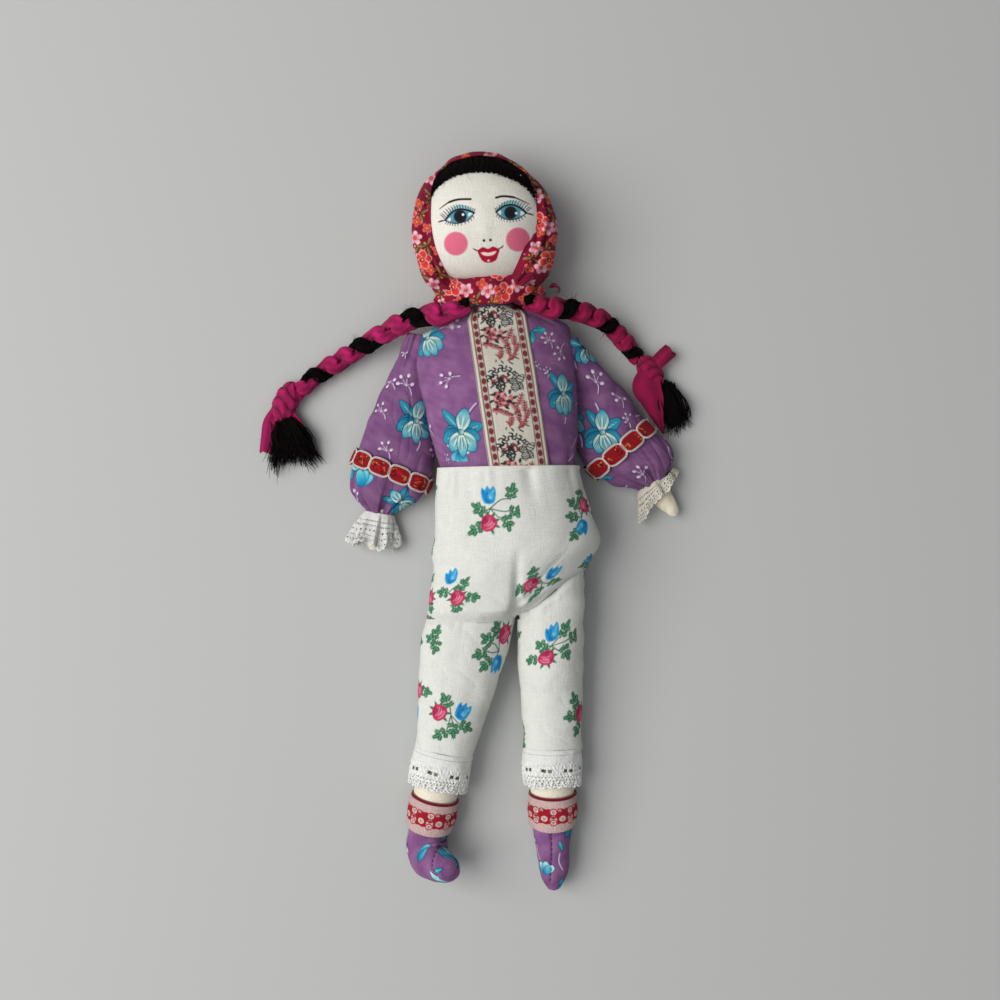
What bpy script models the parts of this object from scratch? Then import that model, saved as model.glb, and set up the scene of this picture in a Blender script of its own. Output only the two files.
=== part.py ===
"""A rag doll that lies on its back: stuffed body, headscarf, braids, blouse, trousers, lace and shoes.

Metres, +Z up out of the doll's face, +Y towards its head, +X towards its left hand. The origin is on
the flat back of the blouse. Left and right are the doll's own: its right arm and leg are at -X.
"""

import math

import bmesh
import bpy
from mathutils import Euler, Matrix, Vector

MM = 0.001

# Clearances, cloth and thread
GAP = 0.3 * MM
TRIM_GAP = 0.5 * MM
CLOTH = 1.0 * MM
FLAT_CUT = 0.5 * MM
OVERRUN = 10.0 * MM
THREAD = 0.7 * MM

# Clothed body, from the neckline down to the crotch, in a frame turned by the body's tilt
BODY_TILT = math.radians(5.2)
NECKLINE = 36.0 * MM
WAIST = 30.5 * MM
CROTCH = 94.4 * MM
CHEST_WIDTH = 67.0 * MM
CHEST_DEPTH = 40.5 * MM
SHOULDER_LIFT = 14.3 * MM
SEAT_WIDTH = 73.0 * MM
SEAT_DEPTH = 42.0 * MM
SEAT_SHIFT = 2.0 * MM
TUCK = 6.0 * MM
STUFFING_DROP = 2.5 * MM
SHOULDER_EASE = 7.0 * MM
ARMPIT = 14.0 * MM
HIP_SEAM = 1.6 * MM
HIP_WIDTH = 56.0 * MM
ELASTIC_WIDTH = 4.0 * MM
ELASTIC_THICK = 1.2 * MM
ELASTIC_DROP = 9.0 * MM
RIBBON_WIDTH = 24.8 * MM
RIBBON_THICK = 0.7 * MM
RIBBON_TOP = 3.0 * MM
RIBBON_SHIFT = 2.3 * MM
RIBBON_LEAN = 3.6 * MM
STITCH_SIZE = 2.8 * MM

# Neck and head
NECK_RADIUS = 8.5 * MM
NECK_LENGTH = 10.5 * MM
NECK_HEIGHT = 15.0 * MM
HEAD_SHIFT = -1.9 * MM
HEAD_LIFT = 28.9 * MM
HOOD_WIDTH = 62.0 * MM
HOOD_LENGTH = 59.0 * MM
HOOD_DEPTH = 43.5 * MM
HAIR_THICK = 2.4 * MM
FACE_BULGE = 2.0 * MM
FACE_WIDTH = 45.4 * MM
FACE_LENGTH = 48.8 * MM
FACE_DROP = 3.4 * MM
HOOD_OPENING = 50.0 * MM
HOOD_OPENING_RISE = 4.2 * MM
OPENING_DEPTH = 3.0 * MM
BAND_WIDTH = 46.0 * MM
BAND_DEPTH = 31.0 * MM
BAND_LENGTH = 10.5 * MM
BAND_EASE = 2.3 * MM
SCARF_KNOT = 8.0 * MM

# Arms
SHOULDER_INSET = 1.5 * MM
SHOULDER_HEIGHT = 12.5 * MM
ARM_RADIUS = 5.0 * MM
SLEEVE_WIDTH = 35.0 * MM
SLEEVE_DEPTH = 19.0 * MM
TRIM_WIDTH = 7.5 * MM
TRIM_THICK = 0.8 * MM
TRIM_EASE = 0.8 * MM
CUFF_WIDTH = 20.0 * MM
CUFF_DEPTH = 11.5 * MM
LACE_THICK = 0.8 * MM
WRIST_RADIUS = 3.0 * MM
WRIST_INSET = 3.0 * MM
HAND_LENGTH = 17.0 * MM
HAND_WIDTH = 8.6 * MM
HAND_DEPTH = 6.0 * MM

# Legs
HIP_HEIGHT = 15.0 * MM
LEG_WIDTH = 23.6 * MM
LEG_DEPTH = 19.6 * MM
THIGH_DEPTH = 29.0 * MM
HEM_DEPTH = 21.5 * MM
HEM_LACE_WIDTH = 15.5 * MM
ANKLE_BAND_WIDTH = 16.0 * MM
ANKLE_BAND_THICK = 0.8 * MM
ANKLE_RADIUS = 8.4 * MM
ANKLE_EASE = 2.6 * MM
SHOE_RADIUS = 9.4 * MM

# Braids
BRAID_THICK = 9.0 * MM
KNOT_SIZE = 10.0 * MM
TAIL_THICK = 2.2 * MM
TASSEL_DEPTH = 7.4 * MM

# Each side's own measures: a doll sewn by hand isn't even, and its limbs lie at their own angles
SIDES = {
    "right": {
        "side": -1,
        "shoulder_drop": 11.0 * MM,
        "arm_angle": math.radians(-9.5),
        "sleeve_length": 74.0 * MM,
        "trim_place": 55.0 * MM,
        "trim_slope": 0.22,
        "gather_shift": -5.0 * MM,
        "cuff_length": 14.5 * MM,
        "cuff_bend": -1.0 * MM,
        "hand_bend": -0.5 * MM,
        "hip": (-12.0 * MM, -95.3 * MM, HIP_HEIGHT),
        "leg_angle": math.radians(-11.2),
        "leg_length": 94.5 * MM,
        "thigh_width": 37.6 * MM,
        "hem_width": 25.6 * MM,
        "hem_rise": 37.0 * MM,
        "crease_angle": math.radians(3.2),
        "shoe_route": (
            (0.9 * MM, -4.9 * MM, 0.9 * MM),
            (2.6 * MM, -9.1 * MM, 3.9 * MM),
            (7.1 * MM, -10.1 * MM, 9.4 * MM),
            (10.0 * MM, -10.5 * MM, 16.0 * MM),
        ),
        "shoe_shares": (0.96, 0.84, 0.70, 0.40),
        "braid_root": (-12.0 * MM, 36.6 * MM, 28.4 * MM),
        "braid_route": (
            (0.0 * MM, 0.0 * MM, 0.0 * MM),
            (-9.0 * MM, -3.2 * MM, -1.0 * MM),
            (-21.0 * MM, -3.8 * MM, -7.0 * MM),
            (-31.5 * MM, -7.0 * MM, -13.4 * MM),
            (-45.0 * MM, -13.6 * MM, -19.9 * MM),
            (-58.0 * MM, -21.4 * MM, -22.9 * MM),
            (-69.0 * MM, -28.5 * MM, -23.8 * MM),
            (-76.0 * MM, -35.0 * MM, -24.0 * MM),
        ),
        "tie_heading": math.radians(-97.0),
        "tail_route": (
            (-1.5 * MM, -0.5 * MM, 2.5 * MM),
            (-4.5 * MM, -6.0 * MM, 4.6 * MM),
            (-7.0 * MM, -13.0 * MM, 5.0 * MM),
            (-8.0 * MM, -20.0 * MM, 5.2 * MM),
        ),
        "tail_width": 6.0 * MM,
        "tassel_heading": math.radians(-84.0),
        "tassel_length": 27.0 * MM,
        "tassel_width": 22.0 * MM,
    },
    "left": {
        "side": 1,
        "shoulder_drop": 19.0 * MM,
        "arm_angle": math.radians(24.5),
        "sleeve_length": 68.0 * MM,
        "trim_place": 47.5 * MM,
        "trim_slope": 0.25,
        "gather_shift": 10.0 * MM,
        "cuff_length": 7.5 * MM,
        "cuff_bend": -0.5 * MM,
        "hand_bend": 3.0 * MM,
        "hip": (22.6 * MM, -84.0 * MM, HIP_HEIGHT),
        "leg_angle": math.radians(0.5),
        "leg_length": 102.5 * MM,
        "thigh_width": 29.0 * MM,
        "hem_width": 25.2 * MM,
        "hem_rise": 36.5 * MM,
        "crease_angle": math.radians(35.4),
        "shoe_route": (
            (0.0 * MM, -6.0 * MM, 0.0 * MM),
            (0.0 * MM, -12.5 * MM, -0.3 * MM),
            (-0.4 * MM, -19.0 * MM, -1.0 * MM),
            (-0.6 * MM, -24.0 * MM, -1.8 * MM),
        ),
        "shoe_shares": (0.84, 0.76, 0.60, 0.26),
        "braid_root": (11.0 * MM, 38.3 * MM, 27.9 * MM),
        "braid_route": (
            (0.0 * MM, 0.0 * MM, 0.0 * MM),
            (9.5 * MM, -2.4 * MM, -1.0 * MM),
            (18.5 * MM, -2.4 * MM, -5.2 * MM),
            (27.0 * MM, -3.8 * MM, -10.4 * MM),
            (36.0 * MM, -7.0 * MM, -16.4 * MM),
            (42.5 * MM, -13.0 * MM, -20.8 * MM),
            (47.5 * MM, -18.2 * MM, -23.0 * MM),
            (50.1 * MM, -21.2 * MM, -23.6 * MM),
        ),
        "tie_heading": math.radians(-62.0),
        "tail_route": (
            (0.5 * MM, -0.5 * MM, 2.5 * MM),
            (3.5 * MM, -7.0 * MM, 4.6 * MM),
            (6.5 * MM, -13.5 * MM, 4.8 * MM),
            (9.0 * MM, -20.0 * MM, 5.0 * MM),
        ),
        "tail_width": 10.0 * MM,
        "tassel_heading": math.radians(-60.0),
        "tassel_length": 22.0 * MM,
        "tassel_width": 12.0 * MM,
    },
}

# Rows of shares. Body and seat: place, half width, half depth, lift off the table, sideways shift
BODY_shares = (
    (0.00, 0.34, 0.56, 0.95, 0.0),
    (0.05, 0.69, 0.61, 0.60, 0.0),
    (0.12, 0.96, 0.66, 0.18, 0.0),
    (0.21, 1.00, 0.74, 0.00, 0.0),
    (0.39, 0.99, 0.89, 0.00, 0.1),
    (0.63, 0.95, 0.99, 0.00, 0.5),
    (0.84, 0.90, 0.99, 0.00, 0.8),
)
SEAT_shares = (
    (0.00, 0.820, 0.92, 0.0, 0.9),
    (0.18, 0.866, 0.95, 0.0, 0.8),
    (0.40, 0.930, 0.99, 0.0, 0.9),
    (0.52, 0.985, 1.00, 0.0, 0.8),
    (0.62, 0.965, 0.98, 0.0, 0.7),
    (0.76, 0.940, 0.90, 0.0, -0.9),
    (1.00, 0.960, 0.74, 0.0, -2.2),
)
# Stuffing narrows above the armpit so that the arms clear it
ARMPIT_SLOPE_share = 0.3
# Stuffing below the waist: place along the seat, half depth of the seat's own, narrowing to the hip seam
PELVIS_shares = (
    (0.00, 0.94, 0.00),
    (0.36, 0.96, 0.05),
    (0.62, 0.88, 0.25),
    (0.80, 0.62, 0.60),
    (0.92, 0.28, 0.90),
    (1.00, 0.00, 1.00),
)
# Sleeve: place, half width, half depth, share of the shoulder's height, sideways sway
SLEEVE_shares = (
    (-0.055, 0.30, 0.60, 1.00, 0.00),
    (0.020, 0.40, 0.72, 0.95, 0.00),
    (0.160, 0.50, 0.84, 0.55, 0.04),
    (0.400, 0.745, 0.96, 0.12, 0.055),
    (0.620, 0.920, 1.00, 0.00, 0.045),
    (0.780, 1.000, 0.98, 0.00, 0.02),
    (0.890, 0.840, 0.86, 0.00, 0.00),
    (0.965, 0.480, 0.62, 0.02, 0.00),
    (1.000, 0.330, 0.50, 0.05, 0.00),
)
# The wrist gather is off the middle from this share of the sleeve on
GATHER_START_share = 0.58
# Calico arm: place, radius
ARM_shares = ((-0.064, 0.30), (-0.050, 0.66), (-0.020, 0.92), (0.050, 1.00), (0.450, 1.00), (0.780, 0.84))
HAND_shares = (
    (0.16, 0.96, 0.98),
    (0.42, 1.00, 1.00),
    (0.75, 0.78, 0.82),
    (0.94, 0.44, 0.50),
    (1.00, 0.20, 0.24),
)
# Calico leg: place, half width, half depth, share of the hip's height, seam slope
LEG_shares = (
    (0.000, 0.88, 0.00, 1.00, 1.0),
    (0.055, 0.96, 0.34, 0.86, 0.8),
    (0.140, 1.00, 0.74, 0.50, 0.5),
    (0.300, 1.00, 1.00, 0.00, 0.0),
    (0.600, 0.91, 0.95, 0.00, 0.0),
    (0.800, 0.82, 0.90, 0.00, 0.0),
    (1.000, 0.78, 0.87, 0.00, 0.0),
)
# Trouser leg: place, thigh share of half width and half depth (the rest is the hem's), crease slope
TROUSER_shares = (
    (0.00, 1.00, 1.00, 1.0),
    (0.20, 0.96, 0.96, 0.6),
    (0.48, 0.62, 0.66, 0.2),
    (0.75, 0.28, 0.32, 0.0),
    (1.00, 0.00, 0.00, 0.0),
)
HEM_LACE_shares = ((0.0, 1.045), (0.5, 1.01), (1.0, 0.99))
CUFF_shares = ((0.00, 0.56, 0.90), (0.35, 0.76, 0.93), (0.70, 0.95, 0.96), (1.00, 1.00, 1.00))
BAND_shares = ((-1.00, 0.84), (-0.70, 0.95), (0.00, 1.00), (0.70, 0.96), (1.00, 0.86))
BRAID_shares = (0.62, 0.98, 1.00, 0.98, 0.94, 0.90, 0.86, 0.74)
TAIL_shares = (0.55, 0.85, 1.00, 0.90)
TASSEL_shares = ((0.00, 0.36, 0.62), (0.22, 0.56, 0.86), (0.55, 0.84, 1.00), (0.86, 1.00, 0.90), (1.00, 0.80, 0.60))


# Scene, materials and mesh helpers


def clear_scene():
    for item in list(bpy.data.objects):
        bpy.data.objects.remove(item, do_unlink=True)


def new_collection(name):
    made = bpy.data.collections.new(name)
    bpy.context.scene.collection.children.link(made)
    return made


def material(name, colour, roughness=0.9):
    made = bpy.data.materials.new(name)
    made.use_nodes = True
    shader = made.node_tree.nodes["Principled BSDF"]
    shader.inputs["Base Color"].default_value = (*colour, 1.0)
    shader.inputs["Roughness"].default_value = roughness
    shader.inputs["Metallic"].default_value = 0.0
    made.diffuse_color = (*colour, 1.0)
    return made


def smooth(rows, count):
    """Rows read from a smooth curve through the given rows, each a tuple of numbers."""
    last = len(rows) - 1
    read = []
    for step in range(count):
        along = last * step / (count - 1)
        first = min(int(along), last - 1)
        t = along - first
        four = [rows[min(max(first + k, 0), last)] for k in (-1, 0, 1, 2)]
        read.append(
            tuple(
                0.5 * (2 * b + (c - a) * t + (2 * a - 5 * b + 4 * c - d) * t * t
                       + (3 * b - a - 3 * c + d) * t ** 3)
                for a, b, c, d in zip(*four)
            )
        )
    return read


def read_at(rows, place):
    """The row at a place, the first number of each row, between straight neighbours."""
    if rows[0][0] > rows[-1][0]:
        rows = rows[::-1]
    if place <= rows[0][0]:
        return rows[0]
    for low, high in zip(rows, rows[1:]):
        if place <= high[0]:
            t = (place - low[0]) / (high[0] - low[0])
            return tuple(a + (b - a) * t for a, b in zip(low, high))
    return rows[-1]


def ellipse(centre, across, up, half_width, half_depth, around):
    """One ring of points, turned so that it starts at the across side."""
    ring = []
    for k in range(around):
        turn = 2 * math.pi * k / around
        ring.append(
            centre + across * (half_width * math.cos(turn)) + up * (half_depth * math.sin(turn))
        )
    return ring


def skin(rings, closed=True):
    """A mesh through rings of equal count; closed puts a flat cap on both ends."""
    work = bmesh.new()
    rows = [[work.verts.new(point) for point in ring] for ring in rings]
    for low, high in zip(rows, rows[1:]):
        for k in range(len(low)):
            after = (k + 1) % len(low)
            work.faces.new((low[k], low[after], high[after], high[k]))
    if closed:
        work.faces.new(rows[0])
        work.faces.new(reversed(rows[-1]))
    bmesh.ops.recalc_face_normals(work, faces=work.faces)
    if not closed:
        middle = sum((v.co for v in work.verts), Vector()) / len(work.verts)
        face = max(work.faces, key=lambda f: (f.calc_center_median() - middle).length)
        if face.normal.dot(face.calc_center_median() - middle) < 0:
            bmesh.ops.reverse_faces(work, faces=work.faces)
    mesh = bpy.data.meshes.new("skin")
    work.to_mesh(mesh)
    work.free()
    return mesh


def along_y(rows, around=20):
    """Rings square to Y from rows of (y, half width, half depth, x, z, slant)."""
    rings = []
    for y, half_width, half_depth, x, z, slant in rows:
        ring = ellipse(Vector((x, y, z)), Vector((1, 0, 0)), Vector((0, 0, 1)),
                       half_width, half_depth, around)
        for point in ring:
            point.y += slant * (point.x - x)
        rings.append(ring)
    return rings


def along_route(points, sizes, around=12, flatness=1.0):
    """Rings square to a route through points, with a half width at each."""
    rings = []
    for i, point in enumerate(points):
        before = points[max(i - 1, 0)]
        after = points[min(i + 1, len(points) - 1)]
        heading = (after - before).normalized()
        across = heading.cross(Vector((0, 0, 1)))
        if across.length < 0.1:
            across = Vector((1, 0, 0))
        across.normalize()
        up = across.cross(heading).normalized()
        rings.append(ellipse(point, across, up, sizes[i], sizes[i] * flatness, around))
    return rings


def ball(radii, centre, around=24, rows=14):
    work = bmesh.new()
    bmesh.ops.create_uvsphere(work, u_segments=around, v_segments=rows, radius=1.0)
    turn = Matrix.Rotation(math.pi / 2, 4, "X")
    bmesh.ops.transform(work, matrix=turn, verts=work.verts)
    for vert in work.verts:
        vert.co = Vector((vert.co.x * radii[0], vert.co.y * radii[1], vert.co.z * radii[2]))
        vert.co += Vector(centre)
    mesh = bpy.data.meshes.new("ball")
    work.to_mesh(mesh)
    work.free()
    return mesh


def torus(centre, axis, major, minor, around=18, sides=6):
    """A ring of thread about an axis."""
    turn = Vector((0, 0, 1)).rotation_difference(Vector(axis)).to_matrix()
    work = bmesh.new()
    loops = []
    for k in range(around):
        angle = 2 * math.pi * k / around
        out = Vector((math.cos(angle), math.sin(angle), 0))
        loop = []
        for n in range(sides):
            bend = 2 * math.pi * n / sides
            point = out * (major + minor * math.cos(bend)) + Vector((0, 0, minor * math.sin(bend)))
            loop.append(work.verts.new(turn @ point + Vector(centre)))
        loops.append(loop)
    for k in range(around):
        low, high = loops[k], loops[(k + 1) % around]
        for n in range(sides):
            m = (n + 1) % sides
            work.faces.new((low[n], high[n], high[m], low[m]))
    bmesh.ops.recalc_face_normals(work, faces=work.faces)
    mesh = bpy.data.meshes.new("torus")
    work.to_mesh(mesh)
    work.free()
    return mesh


def block(low, high):
    work = bmesh.new()
    bmesh.ops.create_cube(work, size=1.0)
    for vert in work.verts:
        vert.co = Vector(
            tuple(low[k] if vert.co[k] < 0 else high[k] for k in range(3))
        )
    mesh = bpy.data.meshes.new("block")
    work.to_mesh(mesh)
    work.free()
    return mesh


class Doll:
    """Holds the two collections and puts pieces and cutters in them."""

    def __init__(self):
        self.parts = new_collection("rag_doll")
        self.cutters = new_collection("cutters")
        self.paint = {}

    def frame(self, name, place, turn=0.0):
        made = bpy.data.objects.new(name, None)
        made.location = place
        made.rotation_euler = Euler((0, 0, turn))
        self.parts.objects.link(made)
        return made

    def add(self, name, mesh, paint, parent=None):
        mesh.name = name
        made = bpy.data.objects.new(name, mesh)
        mesh.materials.append(self.paint[paint])
        mesh.shade_smooth()
        made.parent = parent
        self.parts.objects.link(made)
        return made

    def cutter(self, name, mesh, parent=None):
        made = bpy.data.objects.new(name, mesh)
        made.parent = parent
        made.hide_render = True
        made.display_type = "WIRE"
        self.cutters.objects.link(made)
        return made


def thicken(piece, wall):
    layer = piece.modifiers.new("cloth", "SOLIDIFY")
    layer.thickness = wall
    layer.offset = -1.0
    return piece


def boolean(piece, other, kind="DIFFERENCE"):
    step = piece.modifiers.new(other.name, "BOOLEAN")
    step.operation = kind
    step.object = other
    step.solver = "EXACT"
    return piece


# The clothed body as one outline, which blouse, trousers, stuffing and ribbon share


def resting(half_depth, lift=0.0):
    """Height of a round's middle when its back, cut flat, lies on the table."""
    return half_depth - FLAT_CUT + lift


def seat_rows():
    """(y, half width, half depth, x, z) of the trousers' seat, from waist to crotch."""
    return [
        (-WAIST - place * (CROTCH - WAIST), width * SEAT_WIDTH / 2, depth * SEAT_DEPTH / 2,
         shift * SEAT_SHIFT, resting(depth * SEAT_DEPTH / 2, lift))
        for place, width, depth, lift, shift in SEAT_shares
    ]


def body_rows():
    """The same of the blouse, from the neckline to its tucked hem."""
    rows = []
    for place, width, depth, lift, shift in BODY_shares:
        half_depth = depth * CHEST_DEPTH / 2
        low = resting(half_depth)
        rows.append((
            NECKLINE - place * (NECKLINE + WAIST), width * CHEST_WIDTH / 2, half_depth,
            shift * SEAT_SHIFT, low + lift * max(SHOULDER_LIFT - low, 0.0),
        ))
    for drop in (0.0, TUCK):
        y, width, depth, x, z = read_at(seat_rows(), -WAIST - drop)
        rows.append((y, width - CLOTH - TRIM_GAP, depth - CLOTH - TRIM_GAP, x, z))
    return rows


def grown(rows, by):
    return [(y, width + by, depth + by, x, z) for y, width, depth, x, z in rows]


def level(rows, slope=0.0):
    return [(*row, slope) for row in rows]


def front_height(x, y):
    """Height of the blouse's front at a point of the body's frame."""
    place, width, depth, middle, z = read_at(smooth(body_rows(), 24), y)
    share = min(abs(x - middle) / width, 1.0)
    return z + depth * math.sqrt(1.0 - share * share)


def crease(x, slopes):
    """How far the seat's lower edge stands above the crotch, x metres to its left or right."""
    return x * slopes["left"] if x > 0 else x * slopes["right"]


def stuffing_rows():
    """Rows of the stuffed body: under the blouse, round the elastic, and down to the flat hip seam."""
    rows = []
    outline = smooth(body_rows(), 24)
    wall = CLOTH + GAP
    top = NECKLINE - STUFFING_DROP
    count = 9
    for step in range(count):
        y = top - (top + WAIST) * step / count
        row, near = read_at(outline, y), read_at(outline, y + 2 * wall)
        most = CHEST_WIDTH / 2 - SHOULDER_EASE + max(ARMPIT - y, 0.0) * ARMPIT_SLOPE_share
        width = min(row[1] - wall, near[1] - wall, most)
        rows.append((y, width, min(row[2], near[2]) - 2 * wall, row[3], row[4], 0.0))
    layers = 2 * CLOTH + 2 * GAP + ELASTIC_THICK
    right, left = hip_points()
    slope = math.tan(math.atan2(left.y - right.y, left.x - right.x) - BODY_TILT)
    seam = to_body((right + left) / 2)
    for place, depth, narrow in smooth(PELVIS_shares, 8):
        y, width, half_depth, x, z = read_at(seat_rows(), -WAIST - place * (CROTCH - WAIST))
        width = width - layers + narrow * (HIP_WIDTH / 2 - width + layers)
        x += (seam.x - x) * narrow
        y = -WAIST + (y + WAIST) * (seam.y + WAIST) / (WAIST - CROTCH)
        thick = max(depth * (half_depth - layers), HIP_SEAM / 2)
        rows.append((y, width, thick, x, z + (HIP_HEIGHT - z) * narrow, slope * narrow))
    return rows


def hip_points():
    return Vector(SIDES["right"]["hip"]), Vector(SIDES["left"]["hip"])


def to_body(point):
    """A world point in the body's frame."""
    return Matrix.Rotation(-BODY_TILT, 4, "Z") @ Vector(point)


def to_world(point):
    return Matrix.Rotation(BODY_TILT, 4, "Z") @ Vector(point)


def neck_pivot():
    return to_world((0.0, NECKLINE - STUFFING_DROP + NECK_LENGTH, NECK_HEIGHT))


def shoulder(side):
    return to_world((
        side["side"] * (CHEST_WIDTH / 2 - SHOULDER_INSET), NECKLINE - side["shoulder_drop"], SHOULDER_HEIGHT
    ))


def paint_all(doll):
    for name, colour, roughness in (
        ("calico", (0.74, 0.70, 0.60), 0.95),
        ("wool", (0.02, 0.015, 0.012), 0.98),
        ("scarf_print", (0.32, 0.03, 0.07), 0.9),
        ("magenta_cloth", (0.42, 0.02, 0.15), 0.85),
        ("purple_print", (0.25, 0.10, 0.34), 0.9),
        ("woven_ribbon", (0.62, 0.58, 0.50), 0.8),
        ("red_trim", (0.36, 0.03, 0.03), 0.8),
        ("lace", (0.80, 0.79, 0.74), 0.9),
        ("sprig_print", (0.74, 0.74, 0.75), 0.92),
        ("red_ribbon", (0.55, 0.15, 0.17), 0.85),
        ("thread", (0.03, 0.03, 0.03), 0.8),
        ("elastic", (0.75, 0.75, 0.72), 0.8),
    ):
        doll.paint[name] = material(name, colour, roughness)


def make_body(doll):
    """Stuffed body, blouse, trouser seat, elastic, front ribbon and the stitch at the crotch."""
    frame = doll.frame("body_frame", (0, 0, 0), BODY_TILT)
    wide = CHEST_WIDTH + SEAT_WIDTH
    doll.table = doll.cutter("table", block((-wide * 2, -wide * 2, -OVERRUN), (wide * 2, wide * 2, 0.0)))
    doll.add("stuffed_body", skin(along_y(stuffing_rows())), "calico", frame)

    outline = smooth(body_rows(), 11)
    blouse = doll.add("bodice", skin(along_y(level(outline), 24), closed=False), "purple_print", frame)
    thicken(blouse, CLOTH)
    boolean(blouse, doll.table)
    doll.blouse_room = doll.cutter("blouse_room", skin(along_y(level(grown(outline, GAP)), 24)), frame)

    slopes = {}
    for name, side in SIDES.items():
        slopes[name] = math.tan(side["crease_angle"] - BODY_TILT)
    crotch = crotch_point()
    rings = []
    for y, width, depth, x, z in smooth(seat_rows(), 9):
        ring = ellipse(Vector((x, y, z)), Vector((1, 0, 0)), Vector((0, 0, 1)), width, depth, 24)
        fade = ((-WAIST - y) / (CROTCH - WAIST)) ** 4
        for point in ring:
            point.y += fade * crease(point.x - crotch.x, slopes)
        rings.append(ring)
    seat = doll.add("trouser_seat", skin(rings, closed=False), "sprig_print", frame)
    thicken(seat, CLOTH)
    boolean(seat, doll.table)

    elastic_rows = []
    for y in (-WAIST - ELASTIC_DROP, -WAIST - ELASTIC_DROP - ELASTIC_WIDTH):
        row = read_at(smooth(seat_rows(), 10), y)
        elastic_rows.append((y, row[1] - CLOTH - GAP, row[2] - CLOTH - GAP, row[3], row[4], 0.0))
    elastic = doll.add("waist_elastic", skin(along_y(elastic_rows, 24), closed=False), "elastic", frame)
    thicken(elastic, ELASTIC_THICK)

    make_ribbon(doll, frame)
    knot = (crotch.x, crotch.y, seat_top(crotch) + GAP + THREAD)
    doll.add("crotch_stitch", ball((STITCH_SIZE / 2, STITCH_SIZE / 2, THREAD), knot, 10, 6), "thread", frame)


def crotch_point():
    """Where the two creases meet, in the body's frame."""
    right = SIDES["right"]
    hip = to_body(Vector(right["hip"]))
    x = hip.x + right["thigh_width"] / 2 + GAP
    return Vector((x, -CROTCH, HIP_HEIGHT))


def seat_top(point):
    y, width, depth, x, z = seat_rows()[-1]
    share = min(abs(point.x - x) / width, 1.0)
    return z + depth * math.sqrt(1.0 - share * share)


def make_ribbon(doll, frame):
    """The woven ribbon, laid on the blouse's front from the neckline to the trousers."""
    top = NECKLINE - RIBBON_TOP
    bottom = -WAIST + GAP
    columns, rows = 7, 10
    work = bmesh.new()
    grid = []
    for r in range(rows):
        along = r / (rows - 1)
        y = top + (bottom - top) * along
        middle = RIBBON_SHIFT + RIBBON_LEAN * along
        line = []
        for c in range(columns):
            x = middle + (c / (columns - 1) - 0.5) * RIBBON_WIDTH
            line.append(work.verts.new((x, y, front_height(x, y) + TRIM_GAP)))
        grid.append(line)
    for low, high in zip(grid, grid[1:]):
        for c in range(columns - 1):
            work.faces.new((low[c], high[c], high[c + 1], low[c + 1]))
    mesh = bpy.data.meshes.new("ribbon")
    work.to_mesh(mesh)
    work.free()
    ribbon = doll.add("front_ribbon", mesh, "woven_ribbon", frame)
    thicken(ribbon, RIBBON_THICK).modifiers[0].offset = 1.0


def make_neck(doll):
    pivot = neck_pivot()
    frame = doll.frame("neck_frame", pivot, BODY_TILT)
    rows = [(-NECK_LENGTH + GAP, NECK_RADIUS, NECK_RADIUS, 0.0, 0.0, 0.0)]
    rows.append((0.0, NECK_RADIUS, NECK_RADIUS, 0.0, 0.0, 0.0))
    for turn in (25, 48, 68, 84):
        angle = math.radians(turn)
        radius = NECK_RADIUS * math.cos(angle)
        rows.append((NECK_RADIUS * math.sin(angle), radius, radius, 0.0, 0.0, 0.0))
    doll.add("neck", skin(along_y(rows)), "calico", frame)
    ring = NECK_RADIUS + GAP + THREAD / 2
    doll.add("neck_stitching", torus((0, 0, 0), (0, 1, 0), ring, THREAD / 2), "thread", frame)


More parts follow.
